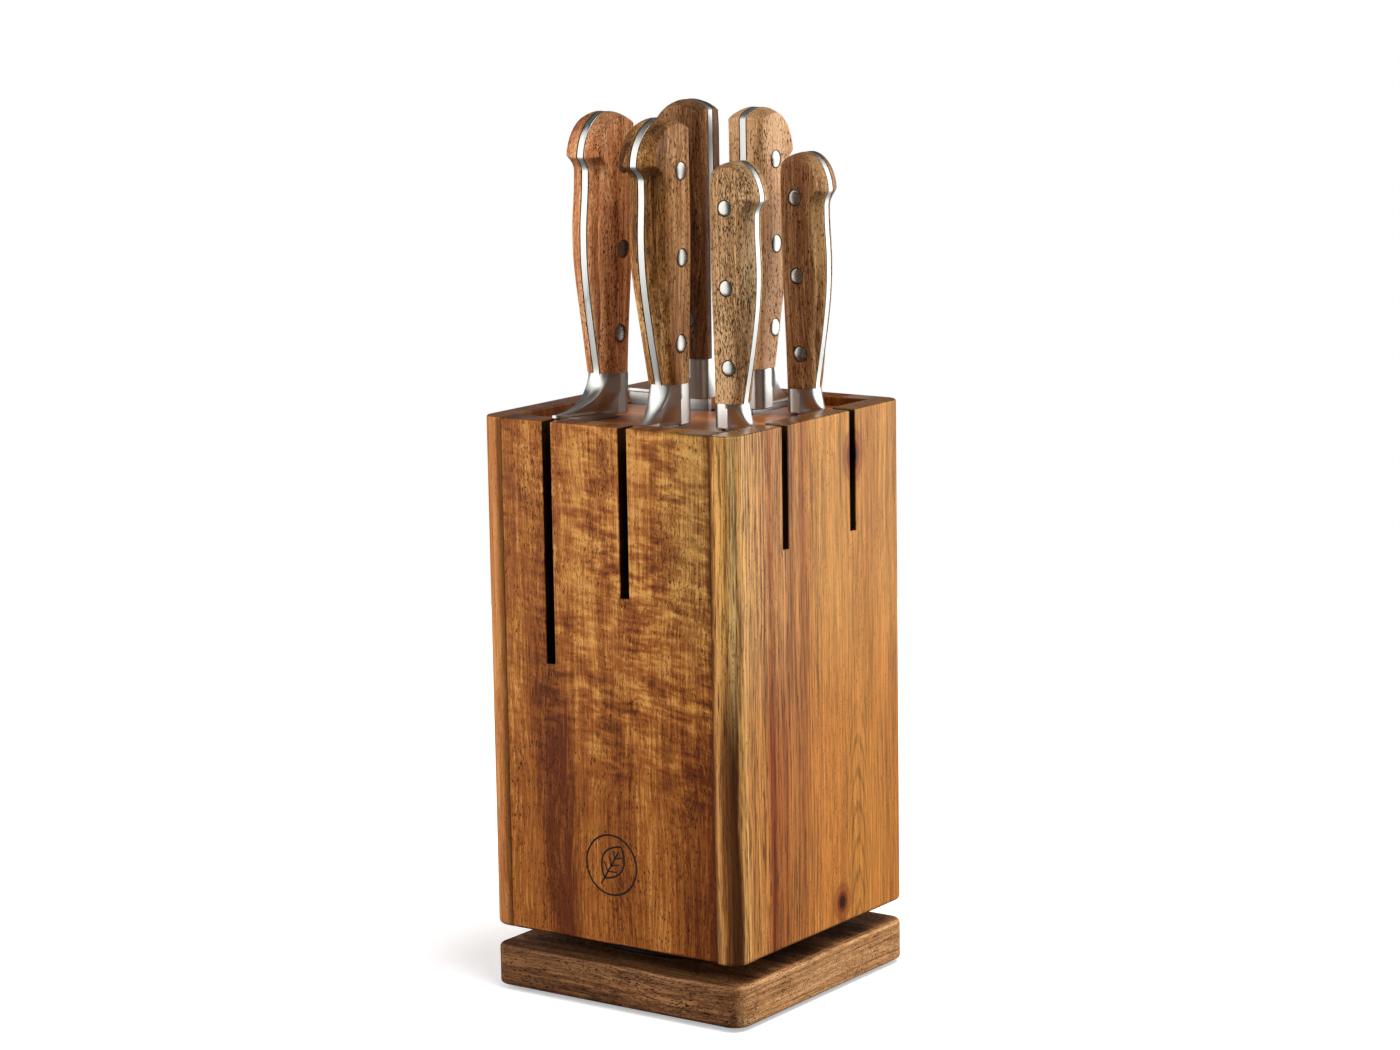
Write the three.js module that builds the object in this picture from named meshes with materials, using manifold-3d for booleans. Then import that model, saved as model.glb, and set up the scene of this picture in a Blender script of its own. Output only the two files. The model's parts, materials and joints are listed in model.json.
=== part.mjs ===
// A wooden knife block on a turntable base, with six full-tang knives standing in it.
// Millimetres, +Z up. The origin is on the table, under the middle of the base board.
import * as THREE from 'three';
import Module from 'manifold-3d';
import { mergeVertices } from 'three/addons/utils/BufferGeometryUtils.js';

const wasm = await Module();
wasm.setup();

// ---- driving dimensions -------------------------------------------------------------
const GLUE = 0.1; // gap left in glued and fitted joints
const WIDTH = 130; // square plan of the block and of the base board
const CORNER_R = 7.5; // vertical outer corners
const WALL = 11.5; // thickness of the four walls
const BLOCK_H = 223;
const BASE_T = 17.6;
const FOOT_T = 2;
const BEARING_GAP = 9; // base board to block
const RECESS = 4; // slot plate below the rim
const SLOT_PLATE_T = 15;
const FLOOR_T = 11;
const SLOT_W = 4.5;

const BASE_Z = FOOT_T;
const BASE_TOP = BASE_Z + BASE_T;
const BLOCK_Z = BASE_TOP + BEARING_GAP;
const RIM_Z = BLOCK_Z + BLOCK_H;
const PLATE_TOP = RIM_Z - RECESS;
const INNER = WIDTH / 2 - WALL; // half the clear width between the walls

const STEEL_T = 3.2; // tang thickness
const BLADE_T = 2.6; // blade thickness at its spine
const EDGE_T = 0.4;
const SLOT_PLAY = 0.5; // slot beyond the handle's spine line

// Handle sizes. neck and grip are depths from the spine; half* are half thicknesses; hookZ is the
// height of the finger hook's point; rivetZ are heights above the bolster.
const LARGE_HANDLE = {
  length: 111, neck: 14.8, grip: 25.2, hookZ: 91.3, halfNeck: 7.4, halfGrip: 9.1, halfButt: 9,
  bolster: 17.3, spineR: 3.8, bellyR: 6.2, rivetR: 3.7, rivetZ: [17, 53, 89],
};
const SMALL_HANDLE = {
  length: 100.5, neck: 12.4, grip: 19.8, hookZ: 84, halfNeck: 6.5, halfGrip: 8, halfButt: 8,
  bolster: 10.5, spineR: 3.2, bellyR: 5.2, rivetR: 3.2, rivetZ: [15, 48.3, 81.4],
};

// Each knife stands with its spine at (x, y); turn is its edge's direction, in degrees from +X.
// lean: degrees that the knife leans back toward its spine, and across to one side.
// lift: underside of the bolster above the rim. hook and rivetU: depths of the finger hook and of
// the rivets. heel and blade: depth and length of the blade. sweep: how late the bolster flares to
// the heel. taper: how late the edge curves up to the tip. tip: depth where the edge ends.
// notch: depth of the opening in the wall that the edge faces.
const KNIVES = [
  { name: 'chef_knife', x: -29.7, y: -14.6, turn: -90, lean: [2.9, 0], lift: -2.2, handle: LARGE_HANDLE,
    hook: 28, rivetU: 8.5, heel: 44.2, sweep: 2, blade: 200, taper: 1.8, tip: 6, notch: 104, wood: 0x7a4227 },
  { name: 'carving_knife', x: 9.7, y: -23.6, turn: -90, lean: [0, 0], lift: -2.6, handle: LARGE_HANDLE,
    hook: 29.8, rivetU: 8.5, heel: 27, sweep: 1.5, blade: 200, taper: 4, tip: 6, notch: 72, wood: 0x8c5a30 },
  { name: 'utility_knife', x: 33.3, y: -26.3, turn: 0, lean: [0, 0], lift: -2.6, handle: SMALL_HANDLE,
    hook: 22, rivetU: 8.4, heel: 16, sweep: 1.5, blade: 130, taper: 3.5, tip: 4, notch: 52, wood: 0x805532 },
  { name: 'paring_knife', x: 35.2, y: 25, turn: 0, lean: [0.9, 0], lift: -2.6, handle: SMALL_HANDLE,
    hook: 21.6, rivetU: 8.4, heel: 16, sweep: 1.5, blade: 90, taper: 2.6, tip: 4, notch: 52, wood: 0x84552f },
  { name: 'santoku_knife', x: -1.2, y: 18, turn: 180, lean: [0, 0], lift: 1.4, handle: LARGE_HANDLE,
    hook: 28.4, rivetU: 8.5, heel: 46, sweep: 2, blade: 180, taper: 5, tip: 29, notch: 72, wood: 0x70462a },
  { name: 'bread_knife', x: 18, y: 14.4, turn: 90, lean: [0, 0], lift: -1.7, handle: LARGE_HANDLE,
    hook: 27, rivetU: 11.5, heel: 34, sweep: 1.7, blade: 200, taper: 6, tip: 12, notch: 72, wood: 0x9a6a42 },
];

const BEARING_R = 48.5;
const BEARING_BORE = 14;
const BEARING_SHEET = 1.5;
const TRACK_R = 32; // circle of the ball centres
const BALL_R = 2.5;
const BALL_COUNT = 10;
const SCREW_CIRCLE_R = 41;
const SCREW_R = 1.5;
const SCREW_HEAD_R = 3;
const SCREW_HEAD_H = 1.6;
const SCREW_L = 10;
const SCREW_FREE_R = 1.7; // screw holes in the bearing plates
const PILOT_R = 1.6; // screw holes in the wood
const BOARD_ACCESS_R = 6; // holes in the board and lower plate that let a driver reach the upper screws
const PLATE_ACCESS_R = 3;
const FOOT_R = 7;
const FOOT_INSET = 17;

// ---- solids -----------------------------------------------------------------------
function solid(geometry) {
  const bare = geometry.clone();
  for (const key of Object.keys(bare.attributes)) {
    if (key !== 'position') bare.deleteAttribute(key);
  }
  const merged = mergeVertices(bare, 1e-5);
  const mesh = new wasm.Mesh({
    numProp: 3,
    vertProperties: new Float32Array(merged.attributes.position.array),
    triVerts: new Uint32Array(merged.index.array),
  });
  mesh.merge();
  return new wasm.Manifold(mesh);
}

function toGeometry(manifold) {
  const mesh = manifold.getMesh();
  const geometry = new THREE.BufferGeometry();
  geometry.setAttribute('position', new THREE.BufferAttribute(new Float32Array(mesh.vertProperties), 3));
  geometry.setIndex(new THREE.BufferAttribute(new Uint32Array(mesh.triVerts), 1));
  geometry.computeVertexNormals();
  return geometry;
}

function without(body, cutters) {
  return cutters.reduce((rest, cutter) => rest.subtract(cutter), body);
}

const at = (geometry, x, y, z) => geometry.clone().translate(x, y, z);

// A box given by its low and high corners.
function box(low, high) {
  const size = high.map((value, i) => value - low[i]);
  return at(new THREE.BoxGeometry(...size), ...low.map((value, i) => value + size[i] / 2));
}

// A round bar along Z, from z0 to z1.
function bar(radius, z0, z1, sides = 16) {
  const upright = new THREE.CylinderGeometry(radius, radius, z1 - z0, sides).rotateX(Math.PI / 2);
  return at(upright, 0, 0, (z0 + z1) / 2);
}

// A body of revolution about Z. The profile is a closed loop of [radius, z].
function turned(profile, sides) {
  const points = [...profile, profile[0]].map(([r, z]) => new THREE.Vector2(r, z));
  return new THREE.LatheGeometry(points, sides).rotateX(Math.PI / 2);
}

// A body through rings of points, each ring counter-clockwise seen from above, from low to high.
function loft(rings) {
  const count = rings[0].length;
  const positions = rings.flat().flatMap((p) => [p.x, p.y, p.z]);
  const index = [];
  for (let k = 0; k < rings.length - 1; k += 1) {
    for (let i = 0; i < count; i += 1) {
      const a = k * count + i;
      const b = k * count + ((i + 1) % count);
      index.push(a, b, b + count, a, b + count, a + count);
    }
  }
  const cap = (ring) => THREE.ShapeUtils.triangulateShape(ring.map((p) => new THREE.Vector2(p.x, p.y)), []);
  const top = (rings.length - 1) * count;
  for (const [a, b, c] of cap(rings[0])) index.push(a, c, b);
  for (const [a, b, c] of cap(rings[rings.length - 1])) index.push(top + a, top + b, top + c);
  const geometry = new THREE.BufferGeometry();
  geometry.setAttribute('position', new THREE.Float32BufferAttribute(positions, 3));
  geometry.setIndex(index);
  return geometry;
}

// ---- finishes ---------------------------------------------------------------------
const finish = (color, roughness, metalness) => () => (
  new THREE.MeshStandardMaterial({ color, roughness, metalness }));
const FRONT_WOOD = finish(0xa8672f, 0.42, 0);
const SIDE_WOOD = finish(0xb87a3e, 0.42, 0);
const PLATE_WOOD = finish(0x9c5a2a, 0.25, 0);
const BASE_WOOD = finish(0x7d5030, 0.5, 0);
const FLOOR_WOOD = finish(0xa8784a, 0.6, 0);
const BLADE_STEEL = finish(0xc4c4c2, 0.28, 1);
const RIVET_STEEL = finish(0xcfcfcd, 0.3, 1);
const BEARING_BLACK = finish(0x1b1b1c, 0.45, 0.6);
const BALL_STEEL = finish(0x8f9092, 0.35, 1);
const SCREW_STEEL = finish(0xa9aaa8, 0.4, 1);
const RUBBER = finish(0x202020, 0.9, 0);

function part(name, geometry, material) {
  const mesh = new THREE.Mesh(geometry, material());
  mesh.name = name;
  return mesh;
}

// ---- block ------------------------------------------------------------------------
// Outline with rounded corners: radii in the order (-x,-y), (+x,-y), (+x,+y), (-x,+y).
function roundedOutline([x0, y0], [x1, y1], radii) {
  const shape = new THREE.Shape();
  const corners = [[x0, y0, 180], [x1, y0, 270], [x1, y1, 0], [x0, y1, 90]];
  corners.forEach(([x, y, start], i) => {
    const r = radii[i];
    if (r === 0) {
      if (i === 0) shape.moveTo(x, y);
      else shape.lineTo(x, y);
      return;
    }
    const cx = x === x0 ? x0 + r : x1 - r;
    const cy = y === y0 ? y0 + r : y1 - r;
    const from = THREE.MathUtils.degToRad(start);
    if (i === 0) shape.moveTo(cx - r, cy);
    shape.absarc(cx, cy, r, from, from + Math.PI / 2);
  });
  shape.closePath();
  return shape;
}

function slab(low, high, z0, z1, radii = [0, 0, 0, 0]) {
  const shape = roundedOutline(low, high, radii);
  const upright = { depth: z1 - z0, bevelEnabled: false, curveSegments: 6 };
  return at(new THREE.ExtrudeGeometry(shape, upright), 0, 0, z0);
}

const sideOf = (knife) => ({ '-90': 'front', 0: 'right', 90: 'back', 180: 'left' })[knife.turn];

// The vertical slot that a knife's blade runs in, from behind its spine out through the wall.
function knifeSlot(knife, z0, z1) {
  const slot = box([-SLOT_PLAY, -SLOT_W / 2, z0], [WIDTH, SLOT_W / 2, z1]);
  return slot.rotateZ(THREE.MathUtils.degToRad(knife.turn)).translate(knife.x, knife.y, 0);
}

function wall(side, outline) {
  const notches = KNIVES.filter((knife) => sideOf(knife) === side)
    .map((knife) => solid(knifeSlot(knife, RIM_Z - knife.notch, RIM_Z + 1)));
  const body = without(solid(slab(...outline)), notches);
  const wood = side === 'front' || side === 'back' ? FRONT_WOOD : SIDE_WOOD;
  return part(`${side}_panel`, toGeometry(body), wood);
}

function walls() {
  const half = WIDTH / 2;
  const r = CORNER_R;
  const span = INNER - GLUE; // front and back panels stand between the side panels
  return [
    wall('front', [[-span, -half], [span, -INNER], BLOCK_Z, RIM_Z]),
    wall('right', [[INNER, -half], [half, half], BLOCK_Z, RIM_Z, [0, r, r, 0]]),
    wall('back', [[-span, INNER], [span, half], BLOCK_Z, RIM_Z]),
    wall('left', [[-half, -half], [-INNER, half], BLOCK_Z, RIM_Z, [r, 0, 0, r]]),
  ];
}

function slotPlate() {
  const span = INNER - GLUE;
  const body = solid(slab([-span, -span], [span, span], PLATE_TOP - SLOT_PLATE_T, PLATE_TOP));
  const slots = KNIVES.map((knife) => solid(knifeSlot(knife, PLATE_TOP - SLOT_PLATE_T - 1, PLATE_TOP + 1)));
  return part('slot_plate', toGeometry(without(body, slots)), PLATE_WOOD);
}

const around = (count, radius, startDeg = 45) => Array.from({ length: count }, (_, i) => {
  const angle = THREE.MathUtils.degToRad(startDeg + (360 * i) / count);
  return [radius * Math.cos(angle), radius * Math.sin(angle)];
});

function holes(places, radius, z0, z1, sides = 12) {
  return places.map(([x, y]) => solid(at(bar(radius, z0, z1, sides), x, y, 0)));
}

const UPPER_SCREWS = around(4, SCREW_CIRCLE_R);
const LOWER_SCREWS = around(4, SCREW_CIRCLE_R, 0);
const ACCESS = around(1, SCREW_CIRCLE_R, 45);

function floorPanel() {
  const span = INNER - GLUE;
  const body = solid(slab([-span, -span], [span, span], BLOCK_Z, BLOCK_Z + FLOOR_T));
  const pilots = holes(UPPER_SCREWS, PILOT_R, BLOCK_Z - 1, BLOCK_Z + SCREW_L, 8);
  return part('floor_panel', toGeometry(without(body, pilots)), FLOOR_WOOD);
}

// ---- base and turntable -------------------------------------------------------------
function baseBoard() {
  const half = WIDTH / 2;
  const r = CORNER_R;
  const body = solid(slab([-half, -half], [half, half], BASE_Z, BASE_TOP, [r, r, r, r]));
  const pilots = holes(LOWER_SCREWS, PILOT_R, BASE_TOP - SCREW_L, BASE_TOP + 1, 8);
  const access = holes(ACCESS, BOARD_ACCESS_R, BASE_Z - 1, BASE_TOP + 1);
  return part('base_board', toGeometry(without(body, [...pilots, ...access])), BASE_WOOD);
}

const BEARING_LOW = BASE_TOP + GLUE;
const BEARING_HIGH = BLOCK_Z - GLUE;
const BALL_Z = (BEARING_LOW + BEARING_HIGH) / 2;

// Cross-section of a bearing plate above z = 0: a flat sheet with a grooved track for the balls.
// The points of rim close the sheet at its outer edge.
function trackProfile(rim) {
  const top = BALL_Z - BEARING_LOW - BALL_R + 0.6; // the balls sit 0.6 into the groove
  const groove = 2; // half width of the ball groove
  const land = 4; // half width of the raised track
  const floor = top - 1.1;
  return [
    [BEARING_BORE, 0], ...rim, [TRACK_R + land, BEARING_SHEET], [TRACK_R + land, top],
    [TRACK_R + groove, top], [TRACK_R, floor], [TRACK_R - groove, top],
    [TRACK_R - land, top], [TRACK_R - land, BEARING_SHEET], [BEARING_BORE, BEARING_SHEET],
  ];
}

const BEARING_SIDES = 32;

function lowerPlate() {
  const radius = BEARING_R - 4;
  const profile = trackProfile([[radius, 0], [radius, BEARING_SHEET]]);
  const body = solid(at(turned(profile, BEARING_SIDES), 0, 0, BEARING_LOW));
  const cuts = [
    ...holes(LOWER_SCREWS, SCREW_FREE_R, BEARING_LOW - 1, BEARING_LOW + 2, 8),
    ...holes(ACCESS, PLATE_ACCESS_R, BEARING_LOW - 1, BEARING_LOW + 2),
  ];
  return part('lower_bearing_plate', toGeometry(without(body, cuts)), BEARING_BLACK);
}

function upperPlate() {
  const inner = BEARING_R - 1.5;
  const skirt = 7.2; // the skirt hangs from the plate and hides the balls
  const profile = trackProfile([
    [BEARING_R, 0], [BEARING_R, skirt], [inner, skirt], [inner, BEARING_SHEET]]);
  const lathe = turned(profile, BEARING_SIDES).rotateX(Math.PI);
  const body = solid(at(lathe, 0, 0, BEARING_HIGH));
  const cuts = holes(UPPER_SCREWS, SCREW_FREE_R, BEARING_HIGH - 2, BEARING_HIGH + 1, 8);
  return part('upper_bearing_plate', toGeometry(without(body, cuts)), BEARING_BLACK);
}

// Retainer sheet with the balls held in it.
function ballRing() {
  const half = 0.45; // half the sheet's thickness
  const rim = TRACK_R + 3.2;
  const profile = [[BEARING_BORE, -half], [rim, -half], [rim, half], [BEARING_BORE, half]];
  const ball = new THREE.SphereGeometry(BALL_R, 8, 6).rotateX(Math.PI / 2);
  const balls = around(BALL_COUNT, TRACK_R, 0).map(([x, y]) => solid(at(ball, x, y, BALL_Z)));
  const body = solid(at(turned(profile, BEARING_SIDES), 0, 0, BALL_Z));
  return part('ball_ring', toGeometry(balls.reduce((sum, one) => sum.add(one), body)), BALL_STEEL);
}

// A pan-head screw pointing up, its head's underside at z = 0.
function screwGeometry() {
  const head = [[0, -SCREW_HEAD_H], [SCREW_HEAD_R * 0.7, -SCREW_HEAD_H],
    [SCREW_HEAD_R, -SCREW_HEAD_H * 0.4], [SCREW_HEAD_R, 0]];
  const shank = [[SCREW_R, 0], [SCREW_R, SCREW_L - 2.5], [0, SCREW_L - 0.8]];
  const points = [...head, ...shank].map(([r, z]) => new THREE.Vector2(r, z));
  return new THREE.LatheGeometry(points, 8).rotateX(Math.PI / 2);
}

function upperScrews() {
  const z = BEARING_HIGH - BEARING_SHEET - GLUE;
  return UPPER_SCREWS.map(([x, y], i) => (
    part(`upper_screw_${i + 1}`, at(screwGeometry(), x, y, z), SCREW_STEEL)));
}

function lowerScrews() {
  const z = BEARING_LOW + BEARING_SHEET + GLUE;
  const down = screwGeometry().rotateX(Math.PI);
  return LOWER_SCREWS.map(([x, y], i) => part(`lower_screw_${i + 1}`, at(down, x, y, z), SCREW_STEEL));
}

function feet() {
  const profile = [[0, 0], [FOOT_R - 0.6, 0], [FOOT_R, 0.6], [FOOT_R, FOOT_T - GLUE], [0, FOOT_T - GLUE]];
  const points = profile.map(([r, z]) => new THREE.Vector2(r, z));
  const reach = WIDTH / 2 - FOOT_INSET;
  return around(4, reach * Math.SQRT2).map(([x, y], i) => part(
    `foot_${i + 1}`, at(new THREE.LatheGeometry(points, 16).rotateX(Math.PI / 2), x, y, 0), RUBBER));
}

// ---- knives -----------------------------------------------------------------------
// Knife frame: x runs from the spine toward the edge, y across the blade, z up.
// z = 0 is the underside of the bolster.
const GRIP_END = 0.77; // where the grip turns out into the finger hook, as a share of the length
const GRIP_STATIONS = [0, 0.22, 0.4, 0.55, 0.7, GRIP_END];
const GRIP_FULLNESS = [0, 0.55, 0.9, 1, 0.92, 0.92];
const APEX = 11; // highest point of the butt, from the spine
const BUTT_DROP = 4.5; // the butt falls this far from its apex to the spine
const DOME_POWER = 1.5; // roundness of the butt between its apex and the hook
const BUTT_EDGE_R = 1.6; // edge rounding of the butt

// Depth of the handle at height h above the bolster.
function bellyDepth(handle, hook, h) {
  const ledge = GRIP_END * handle.length;
  const grip = (level) => handle.neck + (handle.grip - handle.neck) * level;
  if (h <= ledge) {
    const curve = new THREE.CubicInterpolant(GRIP_STATIONS, GRIP_FULLNESS, 1);
    return grip(curve.evaluate(h / handle.length)[0]);
  }
  if (h <= handle.hookZ) {
    const level = (h - ledge) / (handle.hookZ - ledge);
    return THREE.MathUtils.lerp(grip(GRIP_FULLNESS.at(-1)), hook, level * level);
  }
  const level = (h - handle.hookZ) / (handle.length - handle.hookZ);
  return APEX + (hook - APEX) * (1 - level ** DOME_POWER) ** (1 / DOME_POWER);
}

function spineDepth(handle, h) {
  const level = Math.max(0, (h - (handle.length - BUTT_DROP)) / BUTT_DROP);
  return APEX * level * level;
}

function halfThickness(handle, h) {
  const level = h / handle.length;
  const swell = (handle.halfGrip - handle.halfNeck) * THREE.MathUtils.smoothstep(level, 0, 0.6);
  const fall = (handle.halfGrip - handle.halfButt) * THREE.MathUtils.smoothstep(level, 0.6, 0.85);
  return handle.halfNeck + swell - fall;
}

// Rounding of the belly corner: full along the grip, almost none round the hook and the butt.
function bellyRounding(handle, h) {
  const level = THREE.MathUtils.smoothstep(h, GRIP_END * handle.length, handle.hookZ);
  const grip = handle.bellyR * (halfThickness(handle, h) / handle.halfGrip);
  return THREE.MathUtils.lerp(grip, BUTT_EDGE_R, level);
}

const GRIP_LEVELS = [0, 0.12, 0.24, 0.36, 0.48, 0.6, 0.71, 0.77];
const BUTT_LEVELS = [0.8, 0.825, 0.87, 0.91, 0.94, 0.96, 0.98, 0.993];
const HANDLE_LEVELS = [...GRIP_LEVELS, ...BUTT_LEVELS];

function scaleRing(handle, hook, h) {
  const inner = STEEL_T / 2 + GLUE;
  const outer = halfThickness(handle, h);
  const low = spineDepth(handle, h);
  const high = bellyDepth(handle, hook, h);
  const spineR = Math.min(handle.spineR, (high - low) / 4);
  const bellyR = Math.min(bellyRounding(handle, h), (high - low) / 2);
  const ring = [[low, inner], [high, inner]];
  for (let i = 0; i <= 3; i += 1) {
    const angle = (i / 3) * (Math.PI / 2);
    ring.push([high - bellyR * (1 - Math.cos(angle)), outer - bellyR * (1 - Math.sin(angle))]);
  }
  for (let i = 0; i <= 2; i += 1) {
    const angle = (i / 2) * (Math.PI / 2);
    ring.push([low + spineR * (1 - Math.sin(angle)), outer - spineR * (1 - Math.cos(angle))]);
  }
  return ring.map(([x, y]) => new THREE.Vector3(x, y, h));
}

function rivetHoles({ handle, rivetU }) {
  const radius = handle.rivetR + GLUE;
  const hole = new THREE.CylinderGeometry(radius, radius, 2 * handle.halfButt + 4, 10);
  return handle.rivetZ.map((h) => solid(at(hole, rivetU, 0, handle.bolster + GLUE + h)));
}

function scales(knife) {
  const { handle, hook, name } = knife;
  const z0 = handle.bolster + GLUE;
  const rings = HANDLE_LEVELS.map((level) => scaleRing(handle, hook, level * handle.length));
  const left = without(solid(at(loft(rings), 0, 0, z0)), rivetHoles(knife));
  const right = left.scale([1, -1, 1]);
  const wood = finish(knife.wood, 0.5, 0);
  return [
    part(`${name}_scale_left`, toGeometry(left), wood),
    part(`${name}_scale_right`, toGeometry(right), wood),
  ];
}

function rivets(knife) {
  const { handle, name, rivetU } = knife;
  return handle.rivetZ.map((h, i) => {
    const length = 2 * halfThickness(handle, h);
    const pin = new THREE.CylinderGeometry(handle.rivetR, handle.rivetR, length, 10);
    const z = handle.bolster + GLUE + h;
    return part(`${name}_rivet_${i + 1}`, toGeometry(solid(at(pin, rivetU, 0, z))), RIVET_STEEL);
  });
}

// The tang fills the handle's outline between the scales.
function tang(knife) {
  const { handle, hook } = knife;
  const half = STEEL_T / 2;
  const rings = HANDLE_LEVELS.map((level) => {
    const h = level * handle.length;
    const low = spineDepth(handle, h);
    const high = bellyDepth(handle, hook, h);
    return [[low, -half], [high, -half], [high, half], [low, half]]
      .map(([x, y]) => new THREE.Vector3(x, y, h));
  });
  return without(solid(at(loft(rings), 0, 0, handle.bolster)), rivetHoles(knife));
}

const HEEL_HALF = 1.7; // half thickness of the bolster where it meets the heel
const THICK_U = 9; // the full-thickness part of the bolster, from the spine
const HOLLOW_U = 9; // run of the hollow beside it
const BOLSTER_SPINE_R = 3;

// Half thickness of the bolster at depth u; drop is 0 at the scales and 1 at the underside.
function bolsterHalf(handle, u, depth, drop) {
  const round = handle.bellyR * 0.85;
  const full = THREE.MathUtils.clamp((u - (depth - round)) / round, 0, 1);
  const convex = Math.sqrt(1 - full * full);
  const fall = THREE.MathUtils.clamp((u - THICK_U) / HOLLOW_U, 0, 1);
  const level = THREE.MathUtils.lerp(convex, (1 - fall) ** 2, drop);
  return HEEL_HALF + (handle.halfNeck - HEEL_HALF) * level;
}

function bolsterDepth(knife, drop) {
  const { handle, heel, sweep } = knife;
  return handle.neck + (heel - handle.neck) * (1 - (1 - drop ** sweep) ** (1 / sweep));
}

const BOLSTER_DROPS = [1, 0.97, 0.88, 0.72, 0.5, 0.25, 0];
const BOLSTER_STATIONS = [0.2, 0.38, 0.56, 0.76, 0.9, 1];

function bolster(knife) {
  const { handle } = knife;
  const rings = BOLSTER_DROPS.map((drop) => {
    const depth = bolsterDepth(knife, drop);
    const r = BOLSTER_SPINE_R;
    const side = [[0, handle.halfNeck - r], [0.3 * r, handle.halfNeck - 0.3 * r], [r, handle.halfNeck]];
    for (const station of BOLSTER_STATIONS) {
      const u = THREE.MathUtils.lerp(r, depth, station);
      side.push([u, bolsterHalf(handle, u, depth, drop)]);
    }
    const ring = [...side.map(([u, y]) => [u, -y]), ...side.reverse()];
    return ring.map(([x, y]) => new THREE.Vector3(x, y, handle.bolster * (1 - drop)));
  });
  return solid(loft(rings));
}

const BLADE_SPINE_U = 2.5; // the blade's spine stands this far inside the bolster's
const HEEL_STEP = 0.4; // and its edge this far
const BLADE_LEVELS = [1, 0.985, 0.96, 0.92, 0.85, 0.75, 0.6, 0.4, 0.2, 0];

// A ground wedge from spine to edge; level runs from 0 at the heel to 1 at the tip.
function blade(knife) {
  const root = 1; // overlap into the bolster
  const heel = knife.heel - HEEL_STEP;
  const rings = BLADE_LEVELS.map((level) => {
    const edge = knife.tip + (heel - knife.tip) * (1 - level ** knife.taper);
    const back = BLADE_SPINE_U + (knife.tip - BLADE_SPINE_U - 0.8) * level ** 6;
    const half = (BLADE_T / 2) * (1 - 0.45 * level);
    const z = level === 0 ? root : -knife.blade * level;
    return [[back, -half], [edge, -EDGE_T / 2], [edge, EDGE_T / 2], [back, half]]
      .map(([x, y]) => new THREE.Vector3(x, y, z));
  });
  return solid(loft(rings));
}

function knifeGroup(knife) {
  const steel = tang(knife).add(bolster(knife)).add(blade(knife));
  const group = new THREE.Group();
  group.add(part(`${knife.name}_steel`, toGeometry(steel), BLADE_STEEL), ...scales(knife), ...rivets(knife));
  const [back, across] = knife.lean.map(THREE.MathUtils.degToRad);
  group.rotation.set(across, -back, 0, 'ZYX');
  group.rotation.z = THREE.MathUtils.degToRad(knife.turn);
  group.position.set(knife.x, knife.y, RIM_Z + knife.lift);
  return group;
}

// ---- assembly -----------------------------------------------------------------------
const block = new THREE.Group();
block.add(...walls(), slotPlate(), floorPanel(), upperPlate(), ...upperScrews());
block.add(...KNIVES.map(knifeGroup));

const base = new THREE.Group();
base.add(baseBoard(), lowerPlate(), ...lowerScrews(), ...feet());

const knifeBlock = new THREE.Group();
knifeBlock.name = 'knife_block';
knifeBlock.add(base, ballRing(), block);

export default knifeBlock;
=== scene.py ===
"""Looks of a wooden knife block on a turntable, with six riveted full-tang knives.

Pieces are modelled finely on the places that the CAD frame gives, in millimetres, and their
meshes are made in metres.
"""

import json
import math
from functools import reduce
from types import SimpleNamespace as Spec

import bmesh
import bpy
from mathutils import Matrix, Vector


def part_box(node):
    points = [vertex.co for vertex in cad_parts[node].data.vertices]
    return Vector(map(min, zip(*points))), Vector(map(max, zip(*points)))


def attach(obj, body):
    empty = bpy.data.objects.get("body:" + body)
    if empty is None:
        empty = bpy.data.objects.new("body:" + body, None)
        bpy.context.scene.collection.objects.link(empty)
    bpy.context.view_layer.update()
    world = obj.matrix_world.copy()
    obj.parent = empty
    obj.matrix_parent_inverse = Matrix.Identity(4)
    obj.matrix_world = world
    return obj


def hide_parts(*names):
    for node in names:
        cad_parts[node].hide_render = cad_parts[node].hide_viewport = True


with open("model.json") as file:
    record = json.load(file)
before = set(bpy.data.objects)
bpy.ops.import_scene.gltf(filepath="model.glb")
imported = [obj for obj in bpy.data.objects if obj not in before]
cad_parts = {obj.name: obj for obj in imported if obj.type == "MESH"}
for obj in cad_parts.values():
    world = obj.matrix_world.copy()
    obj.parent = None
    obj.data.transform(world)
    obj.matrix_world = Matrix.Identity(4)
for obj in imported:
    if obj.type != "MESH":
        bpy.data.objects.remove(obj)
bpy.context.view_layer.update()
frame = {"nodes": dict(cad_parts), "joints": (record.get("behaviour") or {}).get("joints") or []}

MM = 0.001
GLUE = 0.1  # gap in glued joints


# ---- the knives' design ----
# neck and grip are depths from the spine, half_* half thicknesses, hook_z the height of the
# finger hook's point, and rivet_z heights above the bolster.
LARGE = Spec(
    length=111, neck=14.8, grip=25.2, hook_z=91.3,
    half_neck=7.4, half_grip=9.1, half_butt=9.0, bolster=17.3,
    spine_r=3.8, belly_r=6.2, rivet_r=3.7, rivet_z=(17, 53, 89),
)
SMALL = Spec(
    length=100.5, neck=12.4, grip=19.8, hook_z=84,
    half_neck=6.5, half_grip=8.0, half_butt=8.0, bolster=10.5,
    spine_r=3.2, belly_r=5.2, rivet_r=3.2, rivet_z=(15, 48.3, 81.4),
)

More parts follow.
